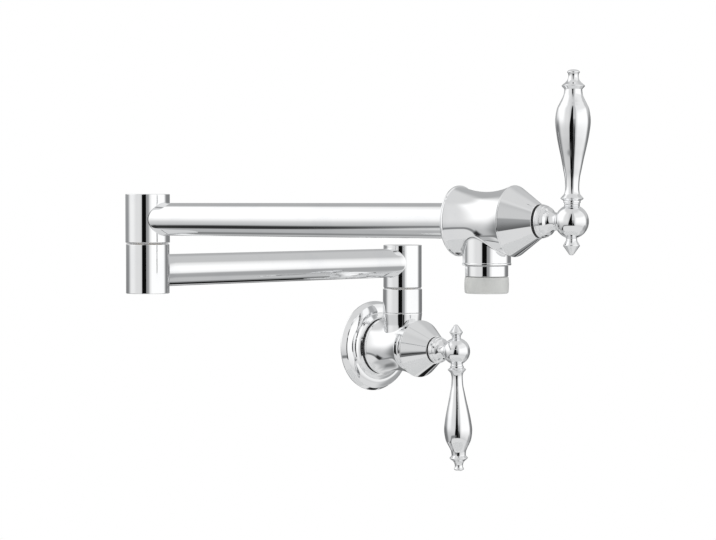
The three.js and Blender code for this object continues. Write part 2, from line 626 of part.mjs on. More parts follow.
// Everything on a valve body, fixed pieces first and then what turns with the lever
function buildValve(valve, prefix, leverTurn, screwSide) {
  piece(valve, `${prefix}_seat_seal`,
    alongY(ring(sealFoot, sealFoot + SEAL_HEIGHT, BARREL_BORE_R - GAP, SEAL_BORE_R), BORED), rubber);
  piece(valve, `${prefix}_fixed_disc`, disc(fixedDiscFoot, true), ceramic);
  piece(valve, `${prefix}_cartridge`, cartridge(), brass);
  const ringCentre = CHAMBER_R - GAP - BODY_RING_SECTION_R;
  piece(valve, `${prefix}_cartridge_o_ring`,
    alongY(roundRing(BODY_RING_AHEAD, ringCentre, BODY_RING_SECTION_R), BORED), rubber);
  piece(valve, `${prefix}_bonnet`, bonnet(), chrome);

  const handle = new THREE.Group();
  handle.rotation.y = leverTurn;
  valve.add(handle);
  piece(handle, `${prefix}_moving_disc`, disc(movingDiscFoot, false), ceramic);
  piece(handle, `${prefix}_stem`, stem(), brass);
  piece(handle, `${prefix}_handle_collar`, collar(), chrome);

  const knob = place(handle, [0, hubAt, 0]);
  piece(knob, `${prefix}_handle_hub`, hub(screwSide), chrome);
  piece(knob, `${prefix}_lever`, lever(), chrome);
  piece(knob, `${prefix}_finial`, finial(), chrome);
  const screw = piece(knob, `${prefix}_hub_screw`,
    grubScrew(HUB_SCREW_R, stemBoreR, stemBoreR + HUB_SCREW_LENGTH), steel);
  screw.position.y = -HUB_SCREW_BACK;
  screw.rotation.y = screwSide * Math.PI / 2;
}

// ---------------------------------------------------------------- wall flange

const flangeBoreR = SPIGOT_R + GAP;
const flangeFront = POST_OUT - BODY_HALF - FLANGE_GROOVE;
const flangeScrewHeight = (FLANGE_RECESS + flangeFront) / 2;

// Heights run out of the wall. The flange is a stepped shell with a recess for its gasket.
function flangeOutline() {
  const hubR = flangeBoreR + FLANGE_HUB_WALL;
  const rimInner = FLANGE_R - FLANGE_RIM_WALL;
  const crown = [];
  for (let i = 0; i <= CROWN_STEPS; i += 1) {
    const angle = (i / CROWN_STEPS) * (Math.PI / 2);
    crown.push([
      FLANGE_BEVEL_HEIGHT + (FLANGE_STEP_HEIGHT - FLANGE_BEVEL_HEIGHT) * Math.sin(angle),
      FLANGE_STEP_R + (FLANGE_BEVEL_R - FLANGE_STEP_R) * Math.cos(angle),
    ]);
  }
  return [
    [0, rimInner], [0, FLANGE_R], [FLANGE_EDGE, FLANGE_R], ...crown,
    [FLANGE_STEP_HEIGHT, FLANGE_STEP_R - FLANGE_STEP_IN], [flangeFront, FLANGE_NECK_R],
    [flangeFront, flangeBoreR], [SPIGOT_INSET, flangeBoreR], [SPIGOT_INSET, hubR],
    [FLANGE_RECESS, hubR], [FLANGE_RECESS, rimInner], [0, rimInner],
  ];
}

function buildFlange() {
  const flange = place(potFiller, [0, 0, 0], Math.PI);
  const screwHole = alongZ(rod(-FLANGE_R, 0, FLANGE_SCREW_R + GAP), TINY)
    .translate([0, flangeScrewHeight, 0]);
  piece(flange, 'wall_flange', alongY(flangeOutline()).subtract(screwHole), chrome);

  const rimInner = FLANGE_R - FLANGE_RIM_WALL - GAP;
  piece(flange, 'flange_gasket',
    alongY(ring(GAP, FLANGE_RECESS - GAP, rimInner, rimInner - GASKET_WIDTH)), foam);

  const screw = piece(flange, 'flange_set_screw',
    grubScrew(FLANGE_SCREW_R, flangeBoreR, flangeBoreR + FLANGE_SCREW_LENGTH), steel);
  screw.position.y = flangeScrewHeight;
  screw.rotation.x = Math.PI;
}

// ---------------------------------------------------------------- aerator

function buildAerator() {
  const spout = place(spoutValve);
  const housingTop = -BOSS_DROP - GAP;
  const housingFoot = housingTop - HOUSING_HEIGHT;
  const nozzleTop = housingFoot - GAP;
  const nozzleFoot = nozzleTop - NOZZLE_HEIGHT;
  const threadR = HOUSING_R - HOUSING_WALL - GAP;
  const recessTop = housingTop - HOUSING_WEB;
  const washerTop = recessTop - GAP;
  const threadTop = washerTop - AERATOR_WASHER_HEIGHT - GAP;
  const nozzleBoreR = threadR - NOZZLE_WALL;
  const neckTop = -BOSS_DROP + BOSS_THREAD_DEPTH - GAP;
  const facet = NOZZLE_EDGE / 3; // set-in of the facets on the nozzle's round lower edge

  piece(spout, 'aerator_housing', alongZ([
    [housingFoot, HOUSING_R - HOUSING_WALL], [housingFoot, HOUSING_R], [housingTop, HOUSING_R],
    [housingTop, BOSS_THREAD_R - GAP], [neckTop, BOSS_THREAD_R - GAP], [neckTop, OUTLET_R],
    [recessTop, OUTLET_R], [recessTop, HOUSING_R - HOUSING_WALL],
    [housingFoot, HOUSING_R - HOUSING_WALL],
  ]), chrome);
  piece(spout, 'aerator_washer',
    alongZ(ring(threadTop + GAP, washerTop, threadR, OUTLET_R + GAP), BORED), rubber);
  piece(spout, 'aerator_nozzle', alongZ([
    [nozzleFoot, MOUTH_R], [nozzleFoot, NOZZLE_R - NOZZLE_EDGE],
    [nozzleFoot + facet, NOZZLE_R - facet], [nozzleFoot + NOZZLE_EDGE, NOZZLE_R],
    [nozzleTop, NOZZLE_R], [nozzleTop, threadR], [threadTop, threadR], [threadTop, nozzleBoreR],
    [nozzleFoot + MOUTH_DEPTH, nozzleBoreR], [nozzleFoot + MOUTH_DEPTH, MOUTH_R],
    [nozzleFoot, MOUTH_R],
  ]), cloudyPlastic);

  const insertFoot = nozzleFoot + MOUTH_DEPTH + GAP;
  const jet = alongZ(rod(insertFoot - OVERCUT, threadTop + OVERCUT, JET_R), JET_SIDES);
  let insert = alongZ(rod(insertFoot, threadTop, nozzleBoreR - GAP), BORED).subtract(jet);
  for (let i = 0; i < JETS; i += 1) {
    const angle = (i / JETS) * 2 * Math.PI;
    const out = [JET_CIRCLE_R * Math.cos(angle), JET_CIRCLE_R * Math.sin(angle), 0];
    insert = insert.subtract(jet.translate(out));
  }
  piece(spout, 'aerator_insert', insert, whitePlastic);
}

// ---------------------------------------------------------------- assembly

buildFlange();
buildWallValveBody();
buildPost();
buildInnerArm();
buildOuterArm();
buildSpoutValveBody();
buildAerator();
buildValve(wallValve, 'wall', Math.PI + THREE.MathUtils.degToRad(WALL_LEVER_LEAN), 1);
buildValve(spoutValve, 'spout', THREE.MathUtils.degToRad(SPOUT_LEVER_LEAN), -1);

export default potFiller;
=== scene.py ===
# %% [markdown]
# # A chrome pot filler on a white studio ground
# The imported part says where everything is. This lesson gives it its looks: every visible piece is
# worked out again as a smooth surface, because mirror chrome shows each flat face of a coarse solid,
# and every finish is a small node material. Lengths are in metres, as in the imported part.

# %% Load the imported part
import json

import bmesh
import bpy
import numpy as np
from mathutils import Euler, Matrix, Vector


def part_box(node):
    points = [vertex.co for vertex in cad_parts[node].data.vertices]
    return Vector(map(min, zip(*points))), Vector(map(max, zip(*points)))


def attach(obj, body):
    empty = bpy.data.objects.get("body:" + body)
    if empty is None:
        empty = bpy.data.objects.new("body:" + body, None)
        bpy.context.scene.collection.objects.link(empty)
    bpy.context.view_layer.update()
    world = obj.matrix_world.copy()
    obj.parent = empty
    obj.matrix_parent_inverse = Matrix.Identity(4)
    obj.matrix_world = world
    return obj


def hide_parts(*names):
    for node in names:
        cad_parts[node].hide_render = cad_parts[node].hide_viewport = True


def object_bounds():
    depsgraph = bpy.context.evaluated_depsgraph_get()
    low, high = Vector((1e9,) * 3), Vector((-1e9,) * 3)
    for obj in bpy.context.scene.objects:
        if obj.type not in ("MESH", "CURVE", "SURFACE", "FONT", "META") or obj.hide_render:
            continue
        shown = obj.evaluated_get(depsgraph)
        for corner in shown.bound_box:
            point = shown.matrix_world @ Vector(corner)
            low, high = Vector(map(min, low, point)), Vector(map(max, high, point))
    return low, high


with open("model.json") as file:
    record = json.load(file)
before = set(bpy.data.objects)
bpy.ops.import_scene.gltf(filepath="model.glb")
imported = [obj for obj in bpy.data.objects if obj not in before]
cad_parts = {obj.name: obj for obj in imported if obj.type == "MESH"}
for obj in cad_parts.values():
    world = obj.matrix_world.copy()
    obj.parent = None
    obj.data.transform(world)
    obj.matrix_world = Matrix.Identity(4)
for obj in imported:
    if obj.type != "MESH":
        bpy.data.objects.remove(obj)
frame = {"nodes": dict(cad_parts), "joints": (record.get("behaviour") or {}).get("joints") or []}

MM = 0.001
cad_box = [list(corner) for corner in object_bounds()]
print("part's box in mm:", [[round(value / MM, 1) for value in corner] for corner in cad_box])

# %% [markdown]
# ## Axes
# A tap is turned and drilled about a few axes: the post, the elbow, the outlet, and the two valves'
# own axes. They could be typed in again, but the part's joints already lie on them, so they are read
# from the frame. The two arms are equally long, which gives the outlet's axis.

# %% Axes and levels from the frame
joint = {row["name"]: row for row in frame["joints"]}
UP = np.array([0.0, 0.0, 1.0])
ROOM = np.array(joint["wall_lever_turn"]["axis"], float)  # out of the wall, along the wall valve
OUT = np.array(joint["spout_lever_turn"]["axis"], float)  # along the outer arm and the spout valve
WALL_HUB = np.array(joint["wall_lever_turn"]["pos_m"], float)
SPOUT_HUB = np.array(joint["spout_lever_turn"]["pos_m"], float)
POST = np.array(joint["post_swivel"]["pos_m"], float) * (1, 1, 0)
ELBOW = np.array(joint["elbow_swivel"]["pos_m"], float) * (1, 1, 0)
ARM_SPAN = np.linalg.norm(ELBOW - POST)
ALONG = (ELBOW - POST) / ARM_SPAN  # along the inner arm
SPOUT = ELBOW + ARM_SPAN * OUT + UP * SPOUT_HUB[2]


def foot_of(node):
    """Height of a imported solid's lowest point."""
    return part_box(node)[0].z


def top_of(node):
    """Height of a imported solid's highest point."""
    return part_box(node)[1].z


INNER_ARM_Z = (foot_of("inner_arm_tube") + top_of("inner_arm_tube")) / 2
OUTER_ARM_Z = SPOUT_HUB[2]
print("arm span %.1f mm, arm heights %.1f and %.1f mm"
      % (ARM_SPAN / MM, INNER_ARM_Z / MM, OUTER_ARM_Z / MM))

# %% [markdown]
# ## From numbers to a mesh
# A turned piece is one outline spun about an axis, and a tube with a saddle end is a ring that
# changes shape as it runs. Both are grids of points, so one helper turns any grid into a mesh. It
# welds the seam and the poles, and turns the faces outwards.

# %% Grid to mesh
AROUND = 128  # points round a turned piece
WELD = 2e-7  # points closer than this become one


def grid_faces(rows, columns, first):
    """Quads between neighbouring rows and columns, numbered row by row from the vertex first."""
    corner = first + np.arange((rows - 1) * columns).reshape(rows - 1, columns)[:, :-1].ravel()
    return np.stack([corner, corner + 1, corner + columns + 1, corner + columns], axis=1)


def surface(name, *grids):
    """One mesh object from grids of points, each (rows, columns, 3). Points that meet are welded."""
    faces, first = [], 0
    for grid in grids:
        faces.append(grid_faces(*grid.shape[:2], first))
        first += grid.shape[0] * grid.shape[1]
    mesh = bpy.data.meshes.new(name)
    mesh.from_pydata(np.concatenate([grid.reshape(-1, 3) for grid in grids]), [],
                     np.concatenate(faces).tolist())
    shell = bmesh.new()
    shell.from_mesh(mesh)
    bmesh.ops.remove_doubles(shell, verts=shell.verts, dist=WELD)
    bmesh.ops.recalc_face_normals(shell, faces=shell.faces)
    shell.to_mesh(mesh)
    shell.free()
    mesh.shade_smooth()
    piece = bpy.data.objects.new(name, mesh)
    bpy.context.scene.collection.objects.link(piece)
    return piece


# %% [markdown]
# ## Outlines
# Polished brass has no sharp corner, and on chrome each rounded edge shows as a thin bright line. So
# an outline is a list of corners with a radius each, and the corners become arcs. A bevel modifier
# could round them later, but then the widths would depend on angle limits.

# %% Rounded outlines and turned surfaces
ARC_STEPS = 6
SUPPORT = 0.15 * MM  # extra point beside an arc, which keeps the flat next to it flat
NEAR_UPRIGHT = 0.9  # an axis whose height part is more than this counts as upright


def unit(vector):
    return vector / np.linalg.norm(vector)


def rounded(*corners):
    """Outline in millimetres whose corners are (along, radius) or (along, radius, fillet).
    A fillet's arc touches both legs at fillet / tan(half the angle between the legs), and a point
    beside it takes at most a quarter of the leg."""
    places = [np.array(corner[:2]) * MM for corner in corners]
    points = [places[0]]
    for before, here, after, corner in zip(places, places[1:], places[2:], corners[1:]):
        if len(corner) < 3:
            points.append(here)
            continue
        legs = [before - here, after - here]
        back, onward = [unit(leg) for leg in legs]
        half = np.arccos(back @ onward) / 2
        reach = corner[2] * MM / np.tan(half)
        centre = here + unit(back + onward) * corner[2] * MM / np.sin(half)
        start, end = here + back * reach - centre, here + onward * reach - centre
        turn, share = np.pi - 2 * half, np.linspace(0, 1, ARC_STEPS + 1)[:, None]
        arc = centre + (np.sin((1 - share) * turn) * start + np.sin(share * turn) * end) / np.sin(turn)
        spare = [np.clip((np.linalg.norm(leg) - 2 * reach) / 4, 0, SUPPORT) for leg in legs]
        points += [here + back * (reach + spare[0]), *arc, here + onward * (reach + spare[1])]
    return np.array([*points, places[-1]])


def spline(stations, steps):
    """Smooth curve through stations in millimetres: between two of them it is the cubic whose end
    slopes are half the chord between the neighbours on either side."""
    at = np.array(stations) * MM
    at = np.vstack([2 * at[0] - at[1], at, 2 * at[-1] - at[-2]])
    share = np.linspace(0, 1, steps, endpoint=False)[:, None]
    spans = [
        ((2 * p1) + (p2 - p0) * share + (2 * p0 - 5 * p1 + 4 * p2 - p3) * share ** 2
         + (3 * p1 - p0 - 3 * p2 + p3) * share ** 3) / 2
        for p0, p1, p2, p3 in zip(at, at[1:], at[2:], at[3:])
    ]
    return np.vstack([*spans, at[-2:-1]])


def turned(outline, origin, axis, around=AROUND):
    """Surface of revolution: outline point (along, radius) goes to
    origin + along * axis + radius * (cos(turn) * side + sin(turn) * third side)."""
    side = unit(np.cross(axis, UP if abs(axis[2]) < NEAR_UPRIGHT else ROOM))
    third = np.cross(axis, side)
    turn = np.linspace(0, 2 * np.pi, around + 1)[None, :, None]
    along, radius = outline[:, 0, None, None], outline[:, 1, None, None]
    return origin + along * axis + radius * (np.cos(turn) * side + np.sin(turn) * third)


print("points for one rounded corner:", len(rounded((0, 0), (0, 2, 1), (2, 2))) - 2)

# %% [markdown]
# ## Shader maths as expressions
# A node tree for chrome is mostly arithmetic on noise. Wiring Math nodes by hand hides the formula,
# so a small class wraps a socket and lets Python's operators add the nodes.

# %% Expressions that build nodes
class Signal:
    """A socket's value. Adding, subtracting and multiplying it adds Math nodes."""

    def __init__(self, sheet, socket):
        self.sheet = sheet
        self.socket = socket

    def maths(self, operation, *values):
        return self.sheet.add("ShaderNodeMath", {"operation": operation}, dict(enumerate(values)))

    def __add__(self, other):
        return self.maths("ADD", self, other)

    def __sub__(self, other):
        return self.maths("SUBTRACT", self, other)

    def __rsub__(self, other):
        return self.maths("SUBTRACT", other, self)

    def __mul__(self, other):
        return self.maths("MULTIPLY", self, other)

    __radd__ = __add__
    __rmul__ = __mul__


class Sheet:
    """A node tree that is written as expressions."""

    def __init__(self, tree):
        self.tree = tree
        tree.nodes.clear()

    def add(self, kind, settings=None, sockets=None, output=0):
        """Adds a node of a kind: its settings first, then values or links for its sockets."""
        node = self.tree.nodes.new(kind)
        for name, value in (settings or {}).items():
            setattr(node, name, value)
        for name, value in (sockets or {}).items():
            if isinstance(value, Signal):
                self.tree.links.new(value.socket, node.inputs[name])
            else:
                node.inputs[name].default_value = value
        return Signal(self, node.outputs[output]) if node.outputs else None

    def place(self):
        """Object coordinates, which follow a piece when it moves."""
        return self.add("ShaderNodeTexCoord", output=3)

    def noise(self, place, scale, detail=2.0, roughness=0.5):
        """Noise from 0 to 1 whose lumps are about 1 / scale metres wide."""
        return self.add("ShaderNodeTexNoise", None,
                        {"Vector": place, "Scale": scale, "Detail": detail, "Roughness": roughness})

    def ease(self, value, low, high, start=0.0, end=1.0):
        """start below low, end above high, and a smooth step between them."""
        return self.add("ShaderNodeMapRange", {"interpolation_type": "SMOOTHSTEP"},
                        {"Value": value, "From Min": low, "From Max": high,
                         "To Min": start, "To Max": end})

    def blend(self, share, first, second):
        """Colour that goes from first to second as share goes from 0 to 1."""
        return self.add("ShaderNodeMix", {"data_type": "RGBA"},
                        {"Factor": share, "A": first, "B": second}, output=2)

    def bump(self, height, distance):
        """Normal of a surface that is raised by distance where height is 1."""
        return self.add("ShaderNodeBump", None,
                        {"Height": height, "Distance": distance, "Strength": 1.0})


def finish_sheet(name):
    """A new material and its empty sheet."""
    material = bpy.data.materials.new(name)
    material.use_nodes = True
    return material, Sheet(material.node_tree)


def finish_shader(sheet, varying, constant):
    """Principled shader. What varies is linked, and what is constant is set on its own socket."""
    shader = sheet.add("ShaderNodeBsdfPrincipled", None, {**constant, **varying})
    sheet.add("ShaderNodeOutputMaterial", None, {"Surface": shader})


# %% [markdown]
# ## Polished chrome
# Chrome plate on brass is a mirror, slightly blue-grey. A perfect mirror looks computed. The real one
# has a faint haze from wiping, where it is a little duller, and polishing leaves slow swells that
# bend reflections by a hair. Both come from noise in object space.

# %% Chrome
CHROME_LIGHT = (0.905, 0.91, 0.915, 1.0)
CHROME_DEEP = (0.865, 0.872, 0.885, 1.0)
MIRROR_ROUGHNESS, HAZE_ROUGHNESS = 0.028, 0.03  # bare mirror, and what haze adds
HAZE_SCALE, SWELL_SCALE = 38.0, 22.0  # lumps per metre
HAZE_BAND = (0.45, 0.75)  # noise levels where the haze sets in and is full
SWELL_HEIGHT = 0.02 * MM


def chrome():
    """Mirror with patches of haze and slow swells."""
    material, sheet = finish_sheet("polished_chrome")
    place = sheet.place()
    haze = sheet.ease(sheet.noise(place, HAZE_SCALE, detail=3.0, roughness=0.6), *HAZE_BAND)
    swell = sheet.noise(place, SWELL_SCALE, detail=0.0)
    finish_shader(sheet, {
        "Base Color": sheet.blend(haze, CHROME_LIGHT, CHROME_DEEP),
        "Roughness": MIRROR_ROUGHNESS + HAZE_ROUGHNESS * haze,
        "Normal": sheet.bump(swell, SWELL_HEIGHT),
    }, {"Metallic": 1.0})
    return material


# %% [markdown]
# ## Plastics
# The aerator's nozzle is cloudy grey-white plastic, softly shiny. The thrust washers, which show as
# hair lines at the swivels, and the aerator's insert are plain white acetal. Moulded plastic has a
# fine orange peel and slightly uneven colour, so each has two colours and a small bump.

# %% Cloudy and white plastic
PEEL_SCALE = 2600.0
PEEL_ROUGHNESS = 0.08
CLOUD_BAND = (0.35, 0.65)


def moulded(name, light, dark, roughness, cloud_scale, peel):
    """Plastic that drifts between two colours, with an orange peel of a given depth."""
    material, sheet = finish_sheet(name)
    place = sheet.place()
    cloud = sheet.noise(place, cloud_scale, detail=3.0)
    grain = sheet.noise(place, PEEL_SCALE, detail=1.0)
    finish_shader(sheet, {
        "Base Color": sheet.blend(sheet.ease(cloud, *CLOUD_BAND), light, dark),
        "Roughness": roughness + PEEL_ROUGHNESS * grain,
        "Normal": sheet.bump(grain, peel),
    }, {"Specular IOR Level": 0.5})
    return material


# %% [markdown]
# ## Inside materials
# Brass, ceramic, rubber, foam and screw steel show only through gaps, from behind and in the exported
# model. They still get their own grain: turning lines run round a brass part, foam has open cells.

# %% Bare metal
TOOL_SCALE, TOOL_STRETCH = 900.0, (1.0, 1.0, 9.0)  # marks lie flat, so they are packed in height
TOOL_ROUGHNESS, TOOL_DEPTH = 0.15, 0.01 * MM
TARNISH_SCALE, TARNISH_BAND = 120.0, (0.3, 0.7)


def machined(name, light, dark, roughness):
    """Bare metal with fine tool marks, as stretched noise."""
    material, sheet = finish_sheet(name)
    stretch = sheet.add("ShaderNodeMapping", None, {"Vector": sheet.place(), "Scale": TOOL_STRETCH})
    marks = sheet.noise(stretch, TOOL_SCALE)
    tarnish = sheet.noise(sheet.place(), TARNISH_SCALE, detail=3.0)
    finish_shader(sheet, {
        "Base Color": sheet.blend(sheet.ease(tarnish, *TARNISH_BAND), light, dark),
        "Roughness": roughness + TOOL_ROUGHNESS * marks,
        "Normal": sheet.bump(marks, TOOL_DEPTH),
    }, {"Metallic": 1.0})
    return material


# %% Rubber and foam
HOLLOW_BAND = (0.2, 0.7)  # distance from a cell's centre where its wall begins and is full
HOLLOW_POLISH = 0.1


def cellular(name, light, dark, roughness, cell_scale, depth):
    """Matt material with grain or open cells. The hollows take the dark colour, which is painted shade.
    """
    material, sheet = finish_sheet(name)
    cells = sheet.add("ShaderNodeTexVoronoi", None, {"Vector": sheet.place(), "Scale": cell_scale})
    hollow = sheet.ease(cells, *HOLLOW_BAND)
    finish_shader(sheet, {
        # painted shade: the hollows take the darker colour
        "Base Color": sheet.blend(hollow, light, dark),
        "Roughness": roughness - HOLLOW_POLISH * hollow,
        "Normal": sheet.bump(1.0 - hollow, depth),
    }, {})
    return material


# %% All finishes, each by its light and its dark colour
finishes = {
    "chrome": chrome(),
    "cloudy_plastic": moulded("cloudy_nozzle", (0.85, 0.855, 0.83, 1), (0.78, 0.79, 0.77, 1),
                              roughness=0.22, cloud_scale=90.0, peel=0.008 * MM),
    "white_plastic": moulded("white_acetal", (0.86, 0.865, 0.87, 1), (0.82, 0.825, 0.83, 1),
                             roughness=0.38, cloud_scale=60.0, peel=0.006 * MM),
    "brass": machined("bare_brass", (0.80, 0.60, 0.27, 1), (0.62, 0.44, 0.19, 1), roughness=0.22),
    "screw_steel": machined("screw_steel", (0.52, 0.53, 0.54, 1), (0.42, 0.43, 0.45, 1),
                            roughness=0.28),
    "ceramic": moulded("ceramic_disc", (0.86, 0.84, 0.79, 1), (0.82, 0.80, 0.75, 1),
                       roughness=0.14, cloud_scale=200.0, peel=0.002 * MM),
    # rubber and foam: the second colour is painted shade in the hollows
    "rubber": cellular("seal_rubber", (0.030, 0.030, 0.031, 1), (0.018, 0.018, 0.019, 1),
                       roughness=0.75, cell_scale=3000.0, depth=0.01 * MM),
    "foam": cellular("gasket_foam", (0.045, 0.045, 0.047, 1), (0.015, 0.015, 0.016, 1),
                     roughness=0.95, cell_scale=1100.0, depth=0.2 * MM),
}
print("finishes:", sorted(finishes))


# %% [markdown]
# ## Fitting a piece to the part
# Each piece says what it moves with, which solid it stands for, and which finish it takes.

# %% Fit a piece
def fit(piece, slot, body, node):
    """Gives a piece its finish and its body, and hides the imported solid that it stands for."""
    piece.data.materials.append(finishes[slot])
    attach(piece, body)
    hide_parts(node)
    return piece


# %% [markdown]
# ## Swivel heads
# The post and the elbow are stacks of short barrels that turn on a hidden spindle. Seen close, each
# barrel is a tube with softly broken edges, closed by a flush plug at the free end. A hair line shows
# where a thrust washer keeps two barrels apart.

# %% Barrels, plugs and washers
EDGE, PLUG_EDGE, WASHER_EDGE = 0.4, 0.35, 0.12  # fillets on barrels, plugs and washers
GAP = 0.3  # room that pieces leave each other
BORE_R = 10.2
PLUG_R = 12.1
PLUG_BORE_R = 12.4
PLUG_HEIGHT = 3.2
MALE_R = 14.75  # post head and lower elbow
FEMALE_R = 15.1  # post stub, post sleeve and upper elbow
WASHER_R = 14.45


def barrel(radius, foot, top, plug_end=0):
    """Hollow barrel about a vertical axis. plug_end is 1 or -1 for a counterbore at the top or foot."""
    low_bore = PLUG_BORE_R if plug_end < 0 else BORE_R
    high_bore = PLUG_BORE_R if plug_end > 0 else BORE_R
    low_step = foot + (PLUG_HEIGHT + GAP if plug_end < 0 else (top - foot) / 3)
    high_step = top - (PLUG_HEIGHT + GAP if plug_end > 0 else (top - foot) / 3)
    return rounded((low_step, BORE_R), (low_step, low_bore), (foot, low_bore), (foot, radius, EDGE),
                   (top, radius, EDGE), (top, high_bore), (high_step, high_bore), (high_step, BORE_R),
                   (low_step, BORE_R))


def plug(foot, top):
    """Round plug with both edges broken."""
    return rounded((foot, 0), (foot, PLUG_R, PLUG_EDGE), (top, PLUG_R, PLUG_EDGE), (top, 0))


def washer(foot, top):
    """Flat ring with a softly broken rim."""
    return rounded((foot, BORE_R), (foot, WASHER_R, WASHER_EDGE), (top, WASHER_R, WASHER_EDGE),
                   (top, BORE_R), (foot, BORE_R))


def levels(node):
    """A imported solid's foot and top in millimetres."""
    return foot_of(node) / MM, top_of(node) / MM


barrels = [  # node, body, axis, radius, end that takes a plug
    ("post_sleeve", "wall_unit", POST, FEMALE_R, 0),
    ("post_head", "inner_arm", POST, MALE_R, 1),
    ("lower_elbow", "inner_arm", ELBOW, MALE_R, -1),
    ("upper_elbow", "outer_arm", ELBOW, FEMALE_R, 1),
]
for node, body, axis_at, radius, plug_end in barrels:
    outline = barrel(radius, *levels(node), plug_end)
    fit(surface(node + "_shell", turned(outline, axis_at, UP)), "chrome", body, node)

for node, body, axis_at in [("post_cap", "inner_arm", POST), ("lower_elbow_plug", "inner_arm", ELBOW),
                            ("upper_elbow_cap", "outer_arm", ELBOW)]:
    fit(surface(node + "_disc", turned(plug(*levels(node)), axis_at, UP)), "chrome", body, node)

for node, body, axis_at in [("post_thrust_washer", "wall_unit", POST),
                            ("elbow_thrust_washer", "inner_arm", ELBOW)]:
    fit(surface(node + "_ring", turned(washer(*levels(node)), axis_at, UP)),
        "white_plastic", body, node)
print("barrels:", len(barrels))

# %% [markdown]
# ## Arm tubes
# A drawn tube is brazed to each head, and its end is cut to a saddle that follows the round barrel. A
# boolean would leave ragged triangles and no fillet. Here the tube's last rings are worked out: each
# point knows how far the barrel's wall is from the axis there, and a quadratic curve makes the fillet.

# %% Tubes with saddle ends
TUBE_R = 11.0
TUBE_BORE_R = 9.7
BRAZE = 0.35  # fillet between a tube and a head
TUCK = 0.25  # how far a fillet's edge runs in under the head's skin
FILLET_ROWS = 7
RUN_ROWS = 48


def corner_curve(rows):
    """Shares of the first leg, the corner and the second leg on a quadratic curve round a corner."""
    share = np.linspace(0, 1, rows)
    return (1 - share) ** 2, 2 * share * (1 - share), share ** 2


def saddle_rows(head_r):
    """Rings from the tube's wall out to the head's skin: distance from the head's axis and radius.
    Across the tube at w, the head's skin is sqrt(head_r ** 2 - w ** 2) from the head's axis."""
    turn = np.linspace(0, 2 * np.pi, AROUND + 1)

    def skin(radius):
        return np.sqrt(head_r ** 2 - (radius * np.cos(turn)) ** 2)

    wall, corner, edge = corner_curve(FILLET_ROWS)
    outer_r = TUBE_R + BRAZE
    rows = [(np.full_like(turn, TUBE_BORE_R), skin(TUBE_BORE_R) - TUCK),
            (np.full_like(turn, outer_r + TUCK), skin(outer_r + TUCK) - TUCK)]
    for on_wall, on_corner, on_edge in zip(wall[::-1], corner[::-1], edge[::-1]):
        radius = (on_wall + on_corner) * TUBE_R + on_edge * outer_r
        distance = (on_wall * (skin(TUBE_R) + BRAZE) + on_corner * skin(TUBE_R)
                    + on_edge * skin(outer_r))
        rows.append((np.full_like(turn, radius), distance))
    return rows


def tube(origin, axis, start_head, end_rows):
    """Tube along axis from a head at origin: its rings, a straight run between them, the far end's
    rings, and its first ring again, which closes the bore. A ring is a radius and a distance."""
    near, far = np.array(saddle_rows(start_head)), np.array(end_rows)
    share = np.linspace(0, 1, RUN_ROWS)[1:-1, None, None]
    run = near[-1] + (far[0] - near[-1]) * share
    radius, distance = np.concatenate([near, run, far, near[:1]]).transpose(1, 0, 2) * MM
    turn = np.linspace(0, 2 * np.pi, AROUND + 1)
    across = np.cross(UP, axis)
    return (origin + distance[..., None] * axis
            + (radius * np.cos(turn))[..., None] * across + (radius * np.sin(turn))[..., None] * UP)


span = ARM_SPAN / MM
full_turn = np.ones(AROUND + 1)
inner_end = [(radius, span - distance) for radius, distance in saddle_rows(MALE_R)[::-1]]
SOCKET_END = span - 17.9  # where the outer tube ends, inside the spout valve's socket
outer_end = [(full_turn * TUBE_R, full_turn * SOCKET_END),
             (full_turn * TUBE_BORE_R, full_turn * SOCKET_END)]
inner_tube = tube(POST + UP * INNER_ARM_Z, ALONG, MALE_R, inner_end)
outer_tube = tube(ELBOW + UP * OUTER_ARM_Z, OUT, FEMALE_R, outer_end)
fit(surface("inner_arm_pipe", inner_tube), "chrome", "inner_arm", "inner_arm_tube")
fit(surface("outer_arm_pipe", outer_tube), "chrome", "outer_arm", "outer_arm_tube")
print("tube grids:", inner_tube.shape, outer_tube.shape)

# %% [markdown]
# ## Valve bodies
# Each valve is a cast spool, waisted between a rear rim and a sharp front ridge. A round boss leaves
# it square to its axis: up to the post on the wall valve, down to the aerator on the spout valve. The
# boss's foot lies on a saddle as the tubes do, but on a waisted body, so the height of the body's skin
# is sqrt(r(t) ** 2 - x ** 2), where r(t) is the waisted outline.

# %% Waisted spools
BODY_HALF = 20.3
RIM_R = 21.8
WAIST_R = 17.8
REAR_R = 21.0  # where the rear rim's lip meets the waisted skin
REAR_LIP = 1.5
FLARE = 2.0  # the power of the flare: 1 would be a cone, and more keeps the waist straight for longer
SPOOL_ROWS = 60
CHAMBER_R = 12.0
SEAT_BACK = 9.0  # how far behind the middle the chamber's floor lies
INLET_R = 6.5


def waist(along):
    """Radius of the spool: the waist's, plus a flare that grows as a power of the share of the way,
    up to the sharp ridge in front and the lip of the rim at the rear."""
    front = (RIM_R - WAIST_R) * np.clip(along / BODY_HALF, 0, 1) ** FLARE
    rear = (REAR_R - WAIST_R) * np.clip(-along / (BODY_HALF - REAR_LIP), 0, 1) ** FLARE
    return WAIST_R + front + rear


